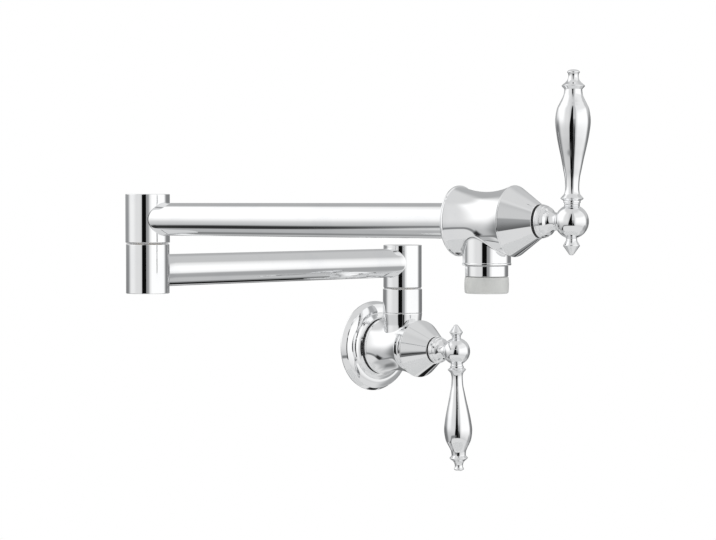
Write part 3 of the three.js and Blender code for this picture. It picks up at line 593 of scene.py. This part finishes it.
def spool_outline(rear):
    """Closed outline: the rear corners that are given, the waisted skin, and the chamber inside."""
    lip_at = -BODY_HALF + REAR_LIP
    along = np.linspace(lip_at + 1, BODY_HALF, SPOOL_ROWS)
    skin = np.stack([along, waist(along)], axis=1) * MM
    back = rounded(*rear, (-BODY_HALF, RIM_R, 0.3), (-BODY_HALF + 1, RIM_R, 0.35),
                   (lip_at, REAR_R, 0.6), tuple(skin[0] / MM))
    front = rounded((BODY_HALF, RIM_R), (BODY_HALF, CHAMBER_R), (-SEAT_BACK, CHAMBER_R),
                    (-SEAT_BACK, INLET_R), rear[0])
    return np.vstack([back[:-1], skin, front[1:]])


# Each rear runs from the water way: floor of the socket, its wall, its mouth, the spigot's outside.
wall_rear = [(-18, INLET_R), (-18, 9.4), (-32, 9.4, 0.5), (-32, 16, 0.5), (-BODY_HALF, 16)]
spout_rear = [(-17.6, INLET_R), (-17.6, 11.3), (-23.9, 11.3), (-23.9, 13.9, 0.7),
              (-BODY_HALF, 13.9)]
VALVE_AT = {"wall": POST, "spout": SPOUT}
print("spool radii, from the rear lip to the ridge:", waist(np.array([BODY_HALF * -0.9, 0, BODY_HALF])))

# %% Bosses on the spools
BOSS_FILLET = 1.1
BOSS_ROWS = 24
BOSS_END = 13.5  # the boss's hidden end, in the wall between the spool's skin and its chamber


def boss(origin, axis, side, lip_outline, wall_r, foot_r):
    """Boss along side, with lip_outline at its free end. Its wall runs down to the spool's skin,
    where a quadratic fillet turns out onto the skin and then tucks in under it."""
    turn = np.linspace(0, 2 * np.pi, AROUND + 1)
    across = np.cross(axis, side)

    def skin(radius):
        along, off = radius * np.cos(turn), radius * np.sin(turn)
        return np.sqrt(waist(along) ** 2 - off ** 2)

    start = lip_outline[-1, 0] / MM
    landing = skin(foot_r) + BOSS_FILLET
    share = np.linspace(0, 1, BOSS_ROWS)[1:, None]
    wall_z = start + (landing - start) * share
    wall_radius = wall_r(wall_z)
    on_wall, on_corner, on_edge = [part[1:, None] for part in corner_curve(FILLET_ROWS + 1)]
    edge_r = foot_r + BOSS_FILLET
    fillet_z = on_wall * landing + on_corner * skin(foot_r) + on_edge * skin(edge_r)
    fillet_r = (on_wall + on_corner) * foot_r + on_edge * edge_r + 0 * turn
    tuck_r = edge_r + TUCK
    height = np.vstack([lip_outline[:, :1] / MM + 0 * turn, wall_z, fillet_z, skin(tuck_r) - TUCK,
                        0 * turn + BOSS_END]) * MM
    radius = np.vstack([lip_outline[:, 1:] / MM + 0 * turn, wall_radius, fillet_r, tuck_r + 0 * turn,
                        0 * turn]) * MM
    return (origin + height[..., None] * side + (radius * np.cos(turn))[..., None] * axis
            + (radius * np.sin(turn))[..., None] * across)


STUB_TOP = foot_of("post_sleeve") / MM - 0.05  # the sleeve is seated on it
STUB_FOOT_R = 14.2
STUB_BORE_FLOOR = STUB_TOP - 6.8
stub_lip = rounded((STUB_BORE_FLOOR, 0), (STUB_BORE_FLOOR, BORE_R), (STUB_TOP, BORE_R),
                   (STUB_TOP, FEMALE_R, EDGE), (STUB_TOP - 1, FEMALE_R))
BOSS_R, BOSS_BEAD_R, BOSS_BORE_R = 14.85, 15.05, 11.5
BOSS_DROP = 26.95  # from the valve's axis down to the boss's end
BOSS_BORE_FLOOR = BOSS_DROP - 8
boss_lip = rounded((BOSS_BORE_FLOOR, 0), (BOSS_BORE_FLOOR, BOSS_BORE_R), (BOSS_DROP, BOSS_BORE_R, 0.2),
                   (BOSS_DROP, BOSS_BEAD_R, 0.3), (BOSS_DROP - 1.1, BOSS_BEAD_R, 0.3),
                   (BOSS_DROP - 1.4, BOSS_R, 0.2), (BOSS_DROP - 2.2, BOSS_R))


def stub_r(height):
    """The stub draws in evenly from its top to its foot."""
    rise = np.clip((height - WAIST_R) / (STUB_TOP - 1 - WAIST_R), 0, 1)
    return STUB_FOOT_R + (FEMALE_R - STUB_FOOT_R) * rise


def boss_r(height):
    """The spout's boss is equally wide at every height."""
    return BOSS_R + 0 * height


wall_spool = turned(spool_outline(wall_rear), POST, ROOM)
wall_stub = boss(POST, ROOM, UP, stub_lip, stub_r, STUB_FOOT_R)
fit(surface("wall_valve_shell", wall_spool, wall_stub), "chrome", "wall_unit", "wall_valve_body")
spout_spool = turned(spool_outline(spout_rear), SPOUT, OUT)
spout_boss = boss(SPOUT, OUT, -UP, boss_lip, boss_r, BOSS_R)
fit(surface("spout_valve_shell", spout_spool, spout_boss), "chrome", "outer_arm", "spout_valve_body")
print("spool grid:", wall_spool.shape, "boss grid:", spout_boss.shape)

# %% [markdown]
# ## Bonnets
# A straight cone hides the cartridge's hexagon. Its narrow end has a softly rounded lip, which shows
# as a white ring before the black groove by the handle.

# %% Bonnets
BONNET_FOOT = BODY_HALF + GAP
BONNET_END = BONNET_FOOT + 17.2
BONNET_END_R = 10.5
BONNET_BORE_R, BONNET_INNER_END_R, BONNET_STEM_R = 18.5, 10.4, 6.3  # inside, from wide to narrow
BONNET_INNER_END = BONNET_END - 4.4
bonnet = rounded((BONNET_FOOT, BONNET_BORE_R), (BONNET_FOOT, RIM_R, 0.25),
                 (BONNET_END, BONNET_END_R, 0.5), (BONNET_END, BONNET_STEM_R),
                 (BONNET_INNER_END, BONNET_STEM_R), (BONNET_INNER_END, BONNET_INNER_END_R),
                 (BONNET_FOOT, BONNET_BORE_R))
for side_name, body, axis in [("wall", "wall_unit", ROOM), ("spout", "outer_arm", OUT)]:
    fit(surface(side_name + "_bonnet_cone", turned(bonnet, VALVE_AT[side_name], axis)),
        "chrome", body, side_name + "_bonnet")
print("bonnet from %.1f to %.1f mm" % (BONNET_FOOT, BONNET_END))

# %% [markdown]
# ## Black rings
# A black line parts each bonnet from its handle, and the flange from the wall valve. Two polished
# faces that lie close together pass light back and forth, so an empty slit would not look black. A
# thin black ring fills it. At the flange it is painted shade: a dark ring where the slit holds only
# shadow. At each handle it is partly a real black glide washer and partly painted shade, made wide
# enough to stand for the groove's shadow too.

# %% Black rings
RING_EDGE = 0.1
# partly real, partly painted shade: a black glide washer made wide enough to stand for the groove's
# shadow
GLIDE_RING_AND_SHADE = (BONNET_END + 0.06, BONNET_END + 1.4, 6.4, 10.1)  # start, end, inner and outer radius
# painted shade: a black ring where the flange's slit holds only shadow
SLIT_SHADE_RING = (-22.65, -20.36, 17.0, 21.5)


def black_ring(name, body, origin, axis, start, end, inner, outer):
    """Flat black ring in the rubber finish, between two distances along an axis, all in millimetres. In
    the flange's slit it is painted shade, and at a handle partly so.
    """
    outline = rounded((start, inner), (start, outer, RING_EDGE), (end, outer, RING_EDGE),
                      (end, inner), (start, inner))
    ring = surface(name, turned(outline, origin, axis))
    ring.data.materials.append(finishes["rubber"])
    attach(ring, body)


for side_name, body, axis in [("wall", "wall_unit", ROOM), ("spout", "outer_arm", OUT)]:
    black_ring(side_name + "_glide_ring_and_shade", body, VALVE_AT[side_name], axis, *GLIDE_RING_AND_SHADE)
black_ring("flange_slit_shade_ring", "wall_unit", POST, ROOM, *SLIT_SHADE_RING)
print("glide rings %.2f mm thick" % (GLIDE_RING_AND_SHADE[1] - GLIDE_RING_AND_SHADE[0]))

# %% [markdown]
# ## Handles
# A ringed collar, a ball, a turned lever and a pointed finial. They are one outline each. Where a
# turner cuts a crisp edge the outline has a corner with a small fillet, and where the tool sweeps, as
# down the grip, it is a spline through a few stations.

# %% Collar
HUB_R = 10.2
HUB_AT = BONNET_END + 22.3
BALL_FIT = 0.05  # a piece that sits on the ball stays this far off it
COLLAR_FOOT = BONNET_END + 1.5
STEM_BORE_R = 3.8
HANDLE_AROUND = 96  # points round a handle's pieces, which are slim
GRIP_STEPS, FINE_STEPS = 8, 6  # points between two stations of a spline
# Corners are (along, radius, fillet), and a spline's stations are (along, radius).
COLLAR_RINGS = [(0, 10.2, 0.3), (1.0, 10.2, 0.4), (1.2, 9.7, 0.05), (1.4, 10.05, 0.25),
                (3.2, 9.55, 0.4), (3.3, 9.05, 0.05), (3.5, 9.1, 0.1), (5.2, 8.5, 0.4)]
COLLAR_NECK = [(6.4, 6.8), (7.5, 6.1), (8.8, 5.6), (10.3, 5.3)]
NECK_R = 5.3


def on_ball(radius):
    """How far from the ball's centre its skin is, at a radius from the axis."""
    return np.sqrt((HUB_R + BALL_FIT) ** 2 - radius ** 2)


def collar_outline():
    """Three rings that step in, a steep face, and a hollow neck up to the ball, with its bore."""
    rings = [(COLLAR_FOOT + along, *rest) for along, *rest in COLLAR_RINGS]
    neck = [(COLLAR_FOOT + along, radius) for along, radius in COLLAR_NECK]
    end = (HUB_AT - on_ball(NECK_R), NECK_R)
    return np.vstack([rounded((COLLAR_FOOT, STEM_BORE_R), *rings, neck[0]),
                      spline([*neck, end], FINE_STEPS),
                      rounded(end, (HUB_AT - on_ball(STEM_BORE_R), STEM_BORE_R),
                              (COLLAR_FOOT, STEM_BORE_R))])


print("collar outline:", len(collar_outline()), "points")

# %% Lever and finial, measured from the ball's centre
ROOT_R = 4.65
FINIAL_NECK_R = 3.3
LEVER_GRIP = [(17.2, 4.5), (18.8, 4.25), (21.5, 4.22), (26.4, 4.6), (31.3, 5.55), (37.9, 6.85),
              (43.5, 8.1), (51, 9.6), (59.4, 10.6), (66.4, 9.75), (70, 8.3), (72.6, 6.95),
              (75.2, 5.8), (77.6, 5.4)]
LEVER_BUTTON = [(81.5, 6.35), (82.8, 4.75), (84.3, 3.6), (86.3, 3.05), (88, 3.25), (89, 3.8),
                (89.9, 3.1), (90.35, 1.7), (90.5, 0)]


def lever_outline():
    """Root, knife edged bead, grip, second bead and button."""
    root = rounded((on_ball(0), 0), (on_ball(ROOT_R), ROOT_R), (10.9, ROOT_R, 0.2), (11.3, 5.15, 0.2),
                   (12.3, 5.1, 0.4), (13.75, 7.0, 0.3), (16.2, 4.85, 1.5), LEVER_GRIP[0])
    bead = rounded(LEVER_GRIP[-1], (78.8, 5.35, 0.4), (80.7, 7.05, 0.3), LEVER_BUTTON[0])
    return np.vstack([root, spline(LEVER_GRIP, GRIP_STEPS), bead, spline(LEVER_BUTTON, FINE_STEPS)])


def finial_outline():
    """Neck, flare, straight cone and a rounded tip."""
    return rounded((on_ball(0), 0), (on_ball(FINIAL_NECK_R), FINIAL_NECK_R),
                   (11.3, FINIAL_NECK_R, 1.2), (14.4, 5.1, 0.5), (19.0, 1.9, 1.4), (20.1, 0.9, 0.6),
                   (20.1, 0))


print("lever outline:", len(lever_outline()), "points")

# %% Ball, and the handles put together
BALL_ROWS = 64
WALL_LEAN, SPOUT_LEAN = 1.7, -1.0  # degrees off plumb, as the levers were left


def ball_outline():
    """Half a circle about the ball's centre."""
    turn = np.linspace(0, np.pi, BALL_ROWS)
    return np.stack([-np.cos(turn), np.sin(turn)], axis=1) * HUB_R * MM


def lean(axis, degrees):
    """Lever direction: plumb, then leaned about the valve's axis."""
    angle = np.radians(degrees)
    return np.cos(angle) * UP + np.sin(angle) * np.cross(axis, UP)


for side_name, axis, hub_at, direction in [("wall", ROOM, WALL_HUB, -lean(ROOM, WALL_LEAN)),
                                           ("spout", OUT, SPOUT_HUB, lean(OUT, SPOUT_LEAN))]:
    valve_at = hub_at - axis * HUB_AT * MM
    body = side_name + "_handle"
    parts = [("handle_collar", collar_outline(), valve_at, axis),
             ("handle_hub", ball_outline(), hub_at, direction),
             ("lever", lever_outline(), hub_at, direction),
             ("finial", finial_outline(), hub_at, -direction)]
    for part, outline, origin, line in parts:
        node = side_name + "_" + part
        fit(surface(node + "_skin", turned(outline, origin, line, HANDLE_AROUND)),
            "chrome", body, node)
    box_low, box_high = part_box(side_name + "_lever")
    print(side_name, "lever spans %.1f mm in height" % ((box_high.z - box_low.z) / MM))

# %% [markdown]
# ## Wall flange
# A pressed escutcheon. A steep rolled side rises from the wall to a domed ring, a small step leads to
# a shelf, and a short steep neck rises to the valve. It is one outline spun about the wall valve's
# axis, and heights run out of the wall. A modelled disc with bevels would not give the dome's sweep.

# %% Flange
FLANGE_R = 34.9
FLANGE_AROUND = 192
RECESS_DEPTH, RECESS_IN_R, RECESS_OUT_R = 3.0, 20.8, 31.9  # the gasket lies in it
WEB_BACK, NECK_BORE_R = 1.0, 16.3
NECK_FRONT = 10.3
DOME = [(5.9, 31.9), (6.6, 30.1), (7.15, 28.2), (7.35, 26.9)]
SHELF_END = (9.2, 23.25)


def flange_outline():
    """Recess in the back, rolled side, domed ring, step and shelf, steep neck, and its bore."""
    rim = rounded((RECESS_DEPTH, RECESS_IN_R), (RECESS_DEPTH, RECESS_OUT_R), (0, RECESS_OUT_R),
                  (0, FLANGE_R, 0.4), (1.2, FLANGE_R, 0.6), (5.0, 33.1, 0.2), (5.5, 32.65, 0.2),
                  DOME[0])
    shelf = rounded(DOME[-1], (7.4, 26.2, 0.1), (7.95, 25.7, 0.1), (8.6, 24.2, 0.3), SHELF_END)
    neck = rounded(SHELF_END, (9.6, 22.7, 0.3), (NECK_FRONT, 22.0, 0.1), (NECK_FRONT, NECK_BORE_R),
                   (WEB_BACK, NECK_BORE_R), (WEB_BACK, RECESS_IN_R), (RECESS_DEPTH, RECESS_IN_R))
    return np.vstack([rim[:-1], spline(DOME, GRIP_STEPS), shelf[1:-1], neck])


flange = turned(flange_outline(), np.zeros(3), ROOM, FLANGE_AROUND)
fit(surface("wall_flange_skin", flange), "chrome", "wall_unit", "wall_flange")
slit = (-POST[1] / MM - BODY_HALF) - NECK_FRONT
print("slit between flange and valve: %.2f mm" % slit)

# %% [markdown]
# ## Aerator
# A short chromed housing screws up into the boss, and a cloudy plastic nozzle into the housing. The
# nozzle swells a little at its middle, and its lower edge is well rounded.

# %% Aerator housing and nozzle
HOUSING_R, HOUSING_BORE_R, WATERWAY_R = 13.2, 11.2, 8
HOUSING_WEB = 1.2
NOZZLE_R, NOZZLE_SWELL = 13.65, 0.3
THREAD_R, THREAD_BORE_R, MOUTH_R, MOUTH_DEPTH = 10.9, 9.5, 8.6, 5
SWELL_SHARES = (1, -0.72)  # the swollen side's ends, as shares of half the height from its middle
housing_foot, housing_neck = levels("aerator_housing")
housing_top = SPOUT[2] / MM - BOSS_DROP - GAP
web_foot = housing_top - HOUSING_WEB
housing = rounded((housing_foot, HOUSING_BORE_R), (housing_foot, HOUSING_R, 0.3),
                  (housing_top, HOUSING_R, 0.35), (housing_top, HOUSING_BORE_R),
                  (housing_neck, HOUSING_BORE_R), (housing_neck, WATERWAY_R), (web_foot, WATERWAY_R),
                  (web_foot, HOUSING_BORE_R), (housing_foot, HOUSING_BORE_R))
nozzle_foot, thread_top = levels("aerator_nozzle")
nozzle_top = housing_foot - GAP


def nozzle_outline():
    """Thread, barrel whose side is a flat parabola, rounded foot, and the mouth."""
    share = np.linspace(*SWELL_SHARES, 16)
    middle, half = (nozzle_top + nozzle_foot) / 2, (nozzle_top - nozzle_foot) / 2
    side = np.stack([middle + half * share * 0.97, NOZZLE_R - NOZZLE_SWELL * share ** 2], axis=1)
    mouth_top = nozzle_foot + MOUTH_DEPTH
    down = rounded((thread_top, THREAD_BORE_R), (thread_top, THREAD_R), (nozzle_top, THREAD_R),
                   (nozzle_top, side[0, 1] - 0.1, 0.15), tuple(side[0]))
    under = rounded(tuple(side[-1]), (nozzle_foot, NOZZLE_R - 0.2, 1.3), (nozzle_foot, MOUTH_R, 0.3),
                    (mouth_top, MOUTH_R), (mouth_top, THREAD_BORE_R), (thread_top, THREAD_BORE_R))
    return np.vstack([down[:-1], side * MM, under[1:]])


spout_floor = SPOUT * (1, 1, 0)
fit(surface("aerator_housing_skin", turned(housing, spout_floor, UP)),
    "chrome", "outer_arm", "aerator_housing")
fit(surface("aerator_nozzle_skin", turned(nozzle_outline(), spout_floor, UP)),
    "cloudy_plastic", "outer_arm", "aerator_nozzle")
print("nozzle from %.1f to %.1f mm" % (nozzle_foot, nozzle_top))

# %% [markdown]
# ## Solids that stay as packed
# Spindles, seals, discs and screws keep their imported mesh, because their shape is right and almost
# nothing of them shows. Each takes the finish of its kind.

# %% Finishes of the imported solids
SLOT_OF_KIND = {  # the first word that a solid's name holds gives its finish
    "o_ring": "rubber", "seat_seal": "rubber", "aerator_washer": "rubber",
    "spindle": "brass", "retaining_nut": "brass", "cartridge": "brass", "stem": "brass",
    "disc": "ceramic", "screw": "screw_steel", "gasket": "foam", "insert": "white_plastic",
}
kept = {name: node for name, node in frame["nodes"].items() if not node.hide_render}
for name, node in kept.items():
    kind = next(word for word in SLOT_OF_KIND if word in name)
    node.data.materials.clear()
    node.data.materials.append(finishes[SLOT_OF_KIND[kind]])
print("kept solids:", len(kept))

# %% [markdown]
# ## Camera
# The photograph was taken almost level and from the left, with a long lens: the two arms, the elbow
# and the flange in it agree with one camera only. Its place is given once, as a point and two angles.

# %% Camera
CAMERA_AT = (-1.2040, -1.3378, 0.1123)
CAMERA_DOWN = 1.69  # degrees below level
CAMERA_TURN = -41.59  # degrees round the vertical from looking along +Y
SENSOR_WIDTH = 36.0  # millimetres, as in a full frame camera
FRAME_WIDTH = 716  # pixels
FOCAL_PIXELS = 2300  # the lens's focal length, counted in pixels of that frame

camera = bpy.data.cameras.new("camera")
camera.sensor_width = SENSOR_WIDTH
camera.lens = FOCAL_PIXELS * SENSOR_WIDTH / FRAME_WIDTH
camera_object = bpy.data.objects.new("camera", camera)
camera_object.location = CAMERA_AT
camera_object.rotation_euler = Euler(np.radians([90 - CAMERA_DOWN, 0, CAMERA_TURN]))
bpy.context.scene.collection.objects.link(camera_object)
bpy.context.scene.camera = camera_object
print("lens %.1f mm" % camera.lens)

# %% [markdown]
# ## Studio light
# Chrome shows nothing but its surroundings. A product studio sets a long white softbox on either side
# of the tap, and leaves a dark gap between them where the camera stands, narrower towards the top.
# The walls and the ceiling are pale grey. The softboxes could be area lamps, but a world that depends
# only on direction lights every view alike and leaves no lamp in the picture. Bearing is the angle
# round the tap, from the camera's side towards the right, and climb is the angle above level, both in
# degrees. The camera itself sees plain white.

# %% Directions
TO_CAMERA = (-0.664, -0.748, 0.0)
TO_RIGHT = (0.748, -0.664, 0.0)
DEGREE = 180 / np.pi

world = bpy.data.worlds.new("studio")
world.use_nodes = True
bpy.context.scene.world = world
sky = Sheet(world.node_tree)
looking = sky.add("ShaderNodeTexCoord")


def share_along(direction):
    """How much of the looking direction lies along another one, from -1 to 1."""
    return sky.add("ShaderNodeVectorMath", {"operation": "DOT_PRODUCT"},
                   {0: looking, 1: direction}, output=1)


aside = share_along(TO_RIGHT)
bearing = aside.maths("ARCTAN2", aside, share_along(TO_CAMERA)) * DEGREE
climb = aside.maths("ARCSINE", share_along((0.0, 0.0, 1.0))) * DEGREE
print("bearing and climb read from", looking.socket.name)

# %% [markdown]
# ## Painting the room
# A real studio is dressed with cards and flags until the metal looks right. Here the same is done in
# paint: each zone of the room is a soft edged patch with a level, laid over what is there. An image
# of a room could do it too, but its light could not be named and moved zone by zone.

# %% Patches with soft edges
def paint(base, mask, level):
    """The base where the mask is 0, the level where it is 1."""
    return base + mask * (level - base)


def until(angle, low, high):
    """1 up to the low angle, and 0 from the high one on."""
    return sky.ease(angle, low, high, 1.0, 0.0)


def card(low, high, soft, angle):
    """1 between two angles, with edges that fade over soft degrees."""
    half = soft / 2
    return sky.ease(angle, low - half, low + half) * until(angle, high - half, high + half)


def zone(bearings, climbs=None):
    """Mask of one zone. Each span is from, to, and the width of its soft edges."""
    across = card(*bearings, bearing)
    return across if climbs is None else across * card(*climbs, climb)


def paint_zones(base, zones):
    """Lays zones over the base in turn. Each is a level and one or two spans."""
    for level, *spans in zones:
        base = paint(base, zone(*spans), level)
    return base


# %% Walls and the right softbox
FRONT_WALL, CEILING = 0.46, 0.73
CEILING_EDGE = (46, 66)
WALLS = [
    (0.80, (-116, -22, 40)),  # left wall
    (0.60, (12, 165, 20)),  # right wall
    (0.24, (-146, -104, 34), (-24, 8, 14)),  # shade low down, far left
    (0.24, (112, 175, 24), (-10, 9, 12)),  # shade low down, far right
    (0.92, (14, 108, 12)),  # wall round the right softbox, lit by it
    (1.12, (24, 101, 10), (-26, 24, 12)),  # right softbox
]
room = paint_zones(FRONT_WALL, WALLS)
room = paint(room, sky.ease(climb, *CEILING_EDGE), CEILING)
print("wall zones:", len(WALLS))

# %% Left softbox, and the walls' feet
LEFT_BOX, LEFT_BOX_SPAN, LEFT_BOX_TOP = 1.15, (-140, -66, 26), (50, 64)
FAR_FOOT, FOOT_STEP, FOOT_SOFT = 8, (-120, -94), 14  # its foot stands higher at its far end
WALL_FOOT, WALL_FADE = 0.66, (-34, 4)  # walls darken towards the floor

box_foot = sky.ease(bearing, *FOOT_STEP, FAR_FOOT, 0)
left_box = card(*LEFT_BOX_SPAN, bearing) * sky.ease(climb, box_foot - FOOT_SOFT, box_foot + FOOT_SOFT)
room = paint(room, left_box * until(climb, *LEFT_BOX_TOP), LEFT_BOX)
room = room * sky.ease(climb, *WALL_FADE, WALL_FOOT, 1.0)

# %% Grey wall beside the gap in front
GREY_LOW, GREY_HIGH, GREY_STEP = 0.13, 0.36, 0.28
GREY_RISE, GREY_STEP_AT = (-28, 6), (5, 12)  # climbs where it brightens, slowly and then in a step
GREY_LEFT, GREY_RIGHT = (-6, -3), (2, 18)  # bearings of its two soft edges

grey = sky.ease(climb, *GREY_RISE, GREY_LOW, GREY_HIGH) + sky.ease(climb, *GREY_STEP_AT, 0.0, GREY_STEP)
room = paint(room, sky.ease(bearing, *GREY_LEFT) * until(bearing, *GREY_RIGHT), grey)

# %% Dark gap, with a grey strip in its lower part
BLACK = 0.004
GAP_LEFT, GAP_LEAN, GAP_LEFT_SOFT = 25, 0.29, 2  # left edge, its drift per degree of climb, its fade
GAP_RIGHT_LOW, GAP_RIGHT_HIGH, GAP_RIGHT_SOFT = 14, -3, 1  # right edge, low down and above level
GAP_NARROWS, GAP_TOP = (-30, 8), (50, 58)  # climbs
STRIP_LEFT, STRIP_BEND = 1.1, 0.0033  # the strip's middle, and how it bends right with climb squared
STRIP_HALF, STRIP_SOFT, STRIP_TOP = 1.3, 0.8, (8, 10)

gap_left = climb * GAP_LEAN - GAP_LEFT
gap_right = sky.ease(climb, *GAP_NARROWS, GAP_RIGHT_LOW, GAP_RIGHT_HIGH)
gap = sky.ease(bearing, gap_left - GAP_LEFT_SOFT, gap_left + GAP_LEFT_SOFT) * until(
    bearing, gap_right - GAP_RIGHT_SOFT, gap_right + GAP_RIGHT_SOFT)
room = paint(room, gap * until(climb, *GAP_TOP), BLACK)
strip_at = climb * climb * STRIP_BEND - STRIP_LEFT
strip = card(strip_at - STRIP_HALF, strip_at + STRIP_HALF, STRIP_SOFT, bearing)
room = paint(room, strip * until(climb, *STRIP_TOP), grey)

# %% The floor's far edge, and the floor
HORIZON = -27  # climb of the floor's far edge
HORIZON_DIP, DIP_LEFT, DIP_RIGHT = -46, (-128, -98), (-100, -60)  # it dips on the left
HORIZON_RISE, RISE_AT = 5.0, (90, 130)  # and is higher on the right, behind
FAR_EDGE, FAR_EDGE_SPAN = 0.24, (-150, -24, 30)  # shade on the wall just above the edge
DARK_EDGE, DARK_EDGE_SPAN = 0.03, (-100, -82, 8)  # its darkest part
FLOOR_LEVEL = 0.76
FLOOR_SHADES = [  # what the floor loses in places
    (0.28, (-160, -92, 20), (-60, -33, 10)),  # near the left softbox's foot
    (0.26, (-174, -136, 16), (-52, -30, 8)),  # behind, left
    (0.20, (98, 150, 16), (-50, -14, 8)),  # behind, right
]

horizon = sky.ease(bearing, *DIP_RIGHT, HORIZON_DIP, HORIZON) + sky.ease(
    bearing, *DIP_LEFT, HORIZON - HORIZON_DIP, 0)
horizon = horizon + sky.ease(bearing, *RISE_AT, 0.0, HORIZON_RISE)
far_edge = card(horizon, horizon + 6, 4, climb) * card(*FAR_EDGE_SPAN, bearing)
room = paint(room, far_edge, FAR_EDGE)
dark_edge = card(horizon - 1, horizon + 10, 6, climb) * card(*DARK_EDGE_SPAN, bearing)
room = paint(room, dark_edge, DARK_EDGE)
floor = FLOOR_LEVEL
for loss, *spans in FLOOR_SHADES:
    floor = floor - zone(*spans) * loss
room = paint(room, until(climb, horizon - 2, horizon), floor)
print("floor level %.2f, shades on it: %d" % (FLOOR_LEVEL, len(FLOOR_SHADES)))

# %% Flags: dark patches that give the metal its black and grey lines
FLAGS = [
    (0.40, (94, 126, 18), (-35, -16, 9)),  # on the floor's edge, right
    (0.28, (143, 172, 6), (-51, -30, 5)),  # on the floor, behind right
    (0.01, (154, 172, 4), (-53, -30, 5)),  # black middle of the one before
]
BACK_SHADE, BACK_EDGE, BACK_SPAN = 0.2, (112, 140), (-26, -2, 3)  # low on the wall behind the tap

room = paint_zones(room, FLAGS)
behind = bearing.maths("ABSOLUTE", bearing)
room = paint(room, sky.ease(behind, *BACK_EDGE) * card(*BACK_SPAN, climb), BACK_SHADE)
print("flags:", len(FLAGS) + 1)

# %% The world's light
WHITE = (1, 1, 1, 1)
COOL = (0.97, 0.985, 1.0, 1)  # shade in a studio is slightly blue
COOL_TO_WHITE = (0.2, 0.9)

seen = sky.add("ShaderNodeLightPath", output=0)
tint = sky.blend(sky.ease(room, *COOL_TO_WHITE), COOL, WHITE)
glow = sky.add("ShaderNodeBackground", None, {"Color": sky.blend(seen, tint, WHITE),
                                              "Strength": paint(room, seen, 1.0)})
sky.add("ShaderNodeOutputWorld", None, {"Surface": glow})
print("studio nodes:", len(world.node_tree.nodes))

# %% [markdown]
# ## Floor
# A pale round table stands well below the tap. The camera sees it as white as the ground of the
# photograph, and the chrome sees its real pale grey.

# %% Floor
FLOOR_Z = -0.8
FLOOR_R, FLOOR_THICK = 0.55, 0.02
RIM_BREAK, RIM_SAG = 0.01, 0.003  # the rim's edge is cut back by this much, in two slopes
MOTTLE_SCALE = 3.0
PALE, PALER = (0.88, 0.89, 0.89, 1), (0.92, 0.92, 0.92, 1)
floor_rim = np.array([(0, 0), (0, FLOOR_R - RIM_BREAK), (RIM_SAG, FLOOR_R - RIM_SAG),
                      (RIM_BREAK, FLOOR_R), (FLOOR_THICK, FLOOR_R), (FLOOR_THICK, 0)]) * (-1, 1)
floor_at = np.array([*np.mean(cad_box, axis=0)[:2], FLOOR_Z])
table = surface("floor", turned(floor_rim, floor_at, UP))
table_finish, sheet = finish_sheet("pale_floor")
mottle = sheet.noise(sheet.place(), MOTTLE_SCALE)
matt = sheet.add("ShaderNodeBsdfPrincipled", None, {
    "Base Color": sheet.blend(mottle, PALE, PALER),
    "Roughness": 0.8})
plain = sheet.add("ShaderNodeEmission", None, {"Color": WHITE, "Strength": 1.0})
by_camera = sheet.add("ShaderNodeLightPath", output=0)
shown = sheet.add("ShaderNodeMixShader", None, {0: by_camera, 1: matt, 2: plain})
sheet.add("ShaderNodeOutputMaterial", None, {"Surface": shown})
table.data.materials.append(table_finish)
print("floor %.2f m below the wall valve" % -FLOOR_Z)

# %% [markdown]
# ## View
# Colours go to the picture as they are.

# %% View
bpy.context.scene.view_settings.view_transform = "Standard"
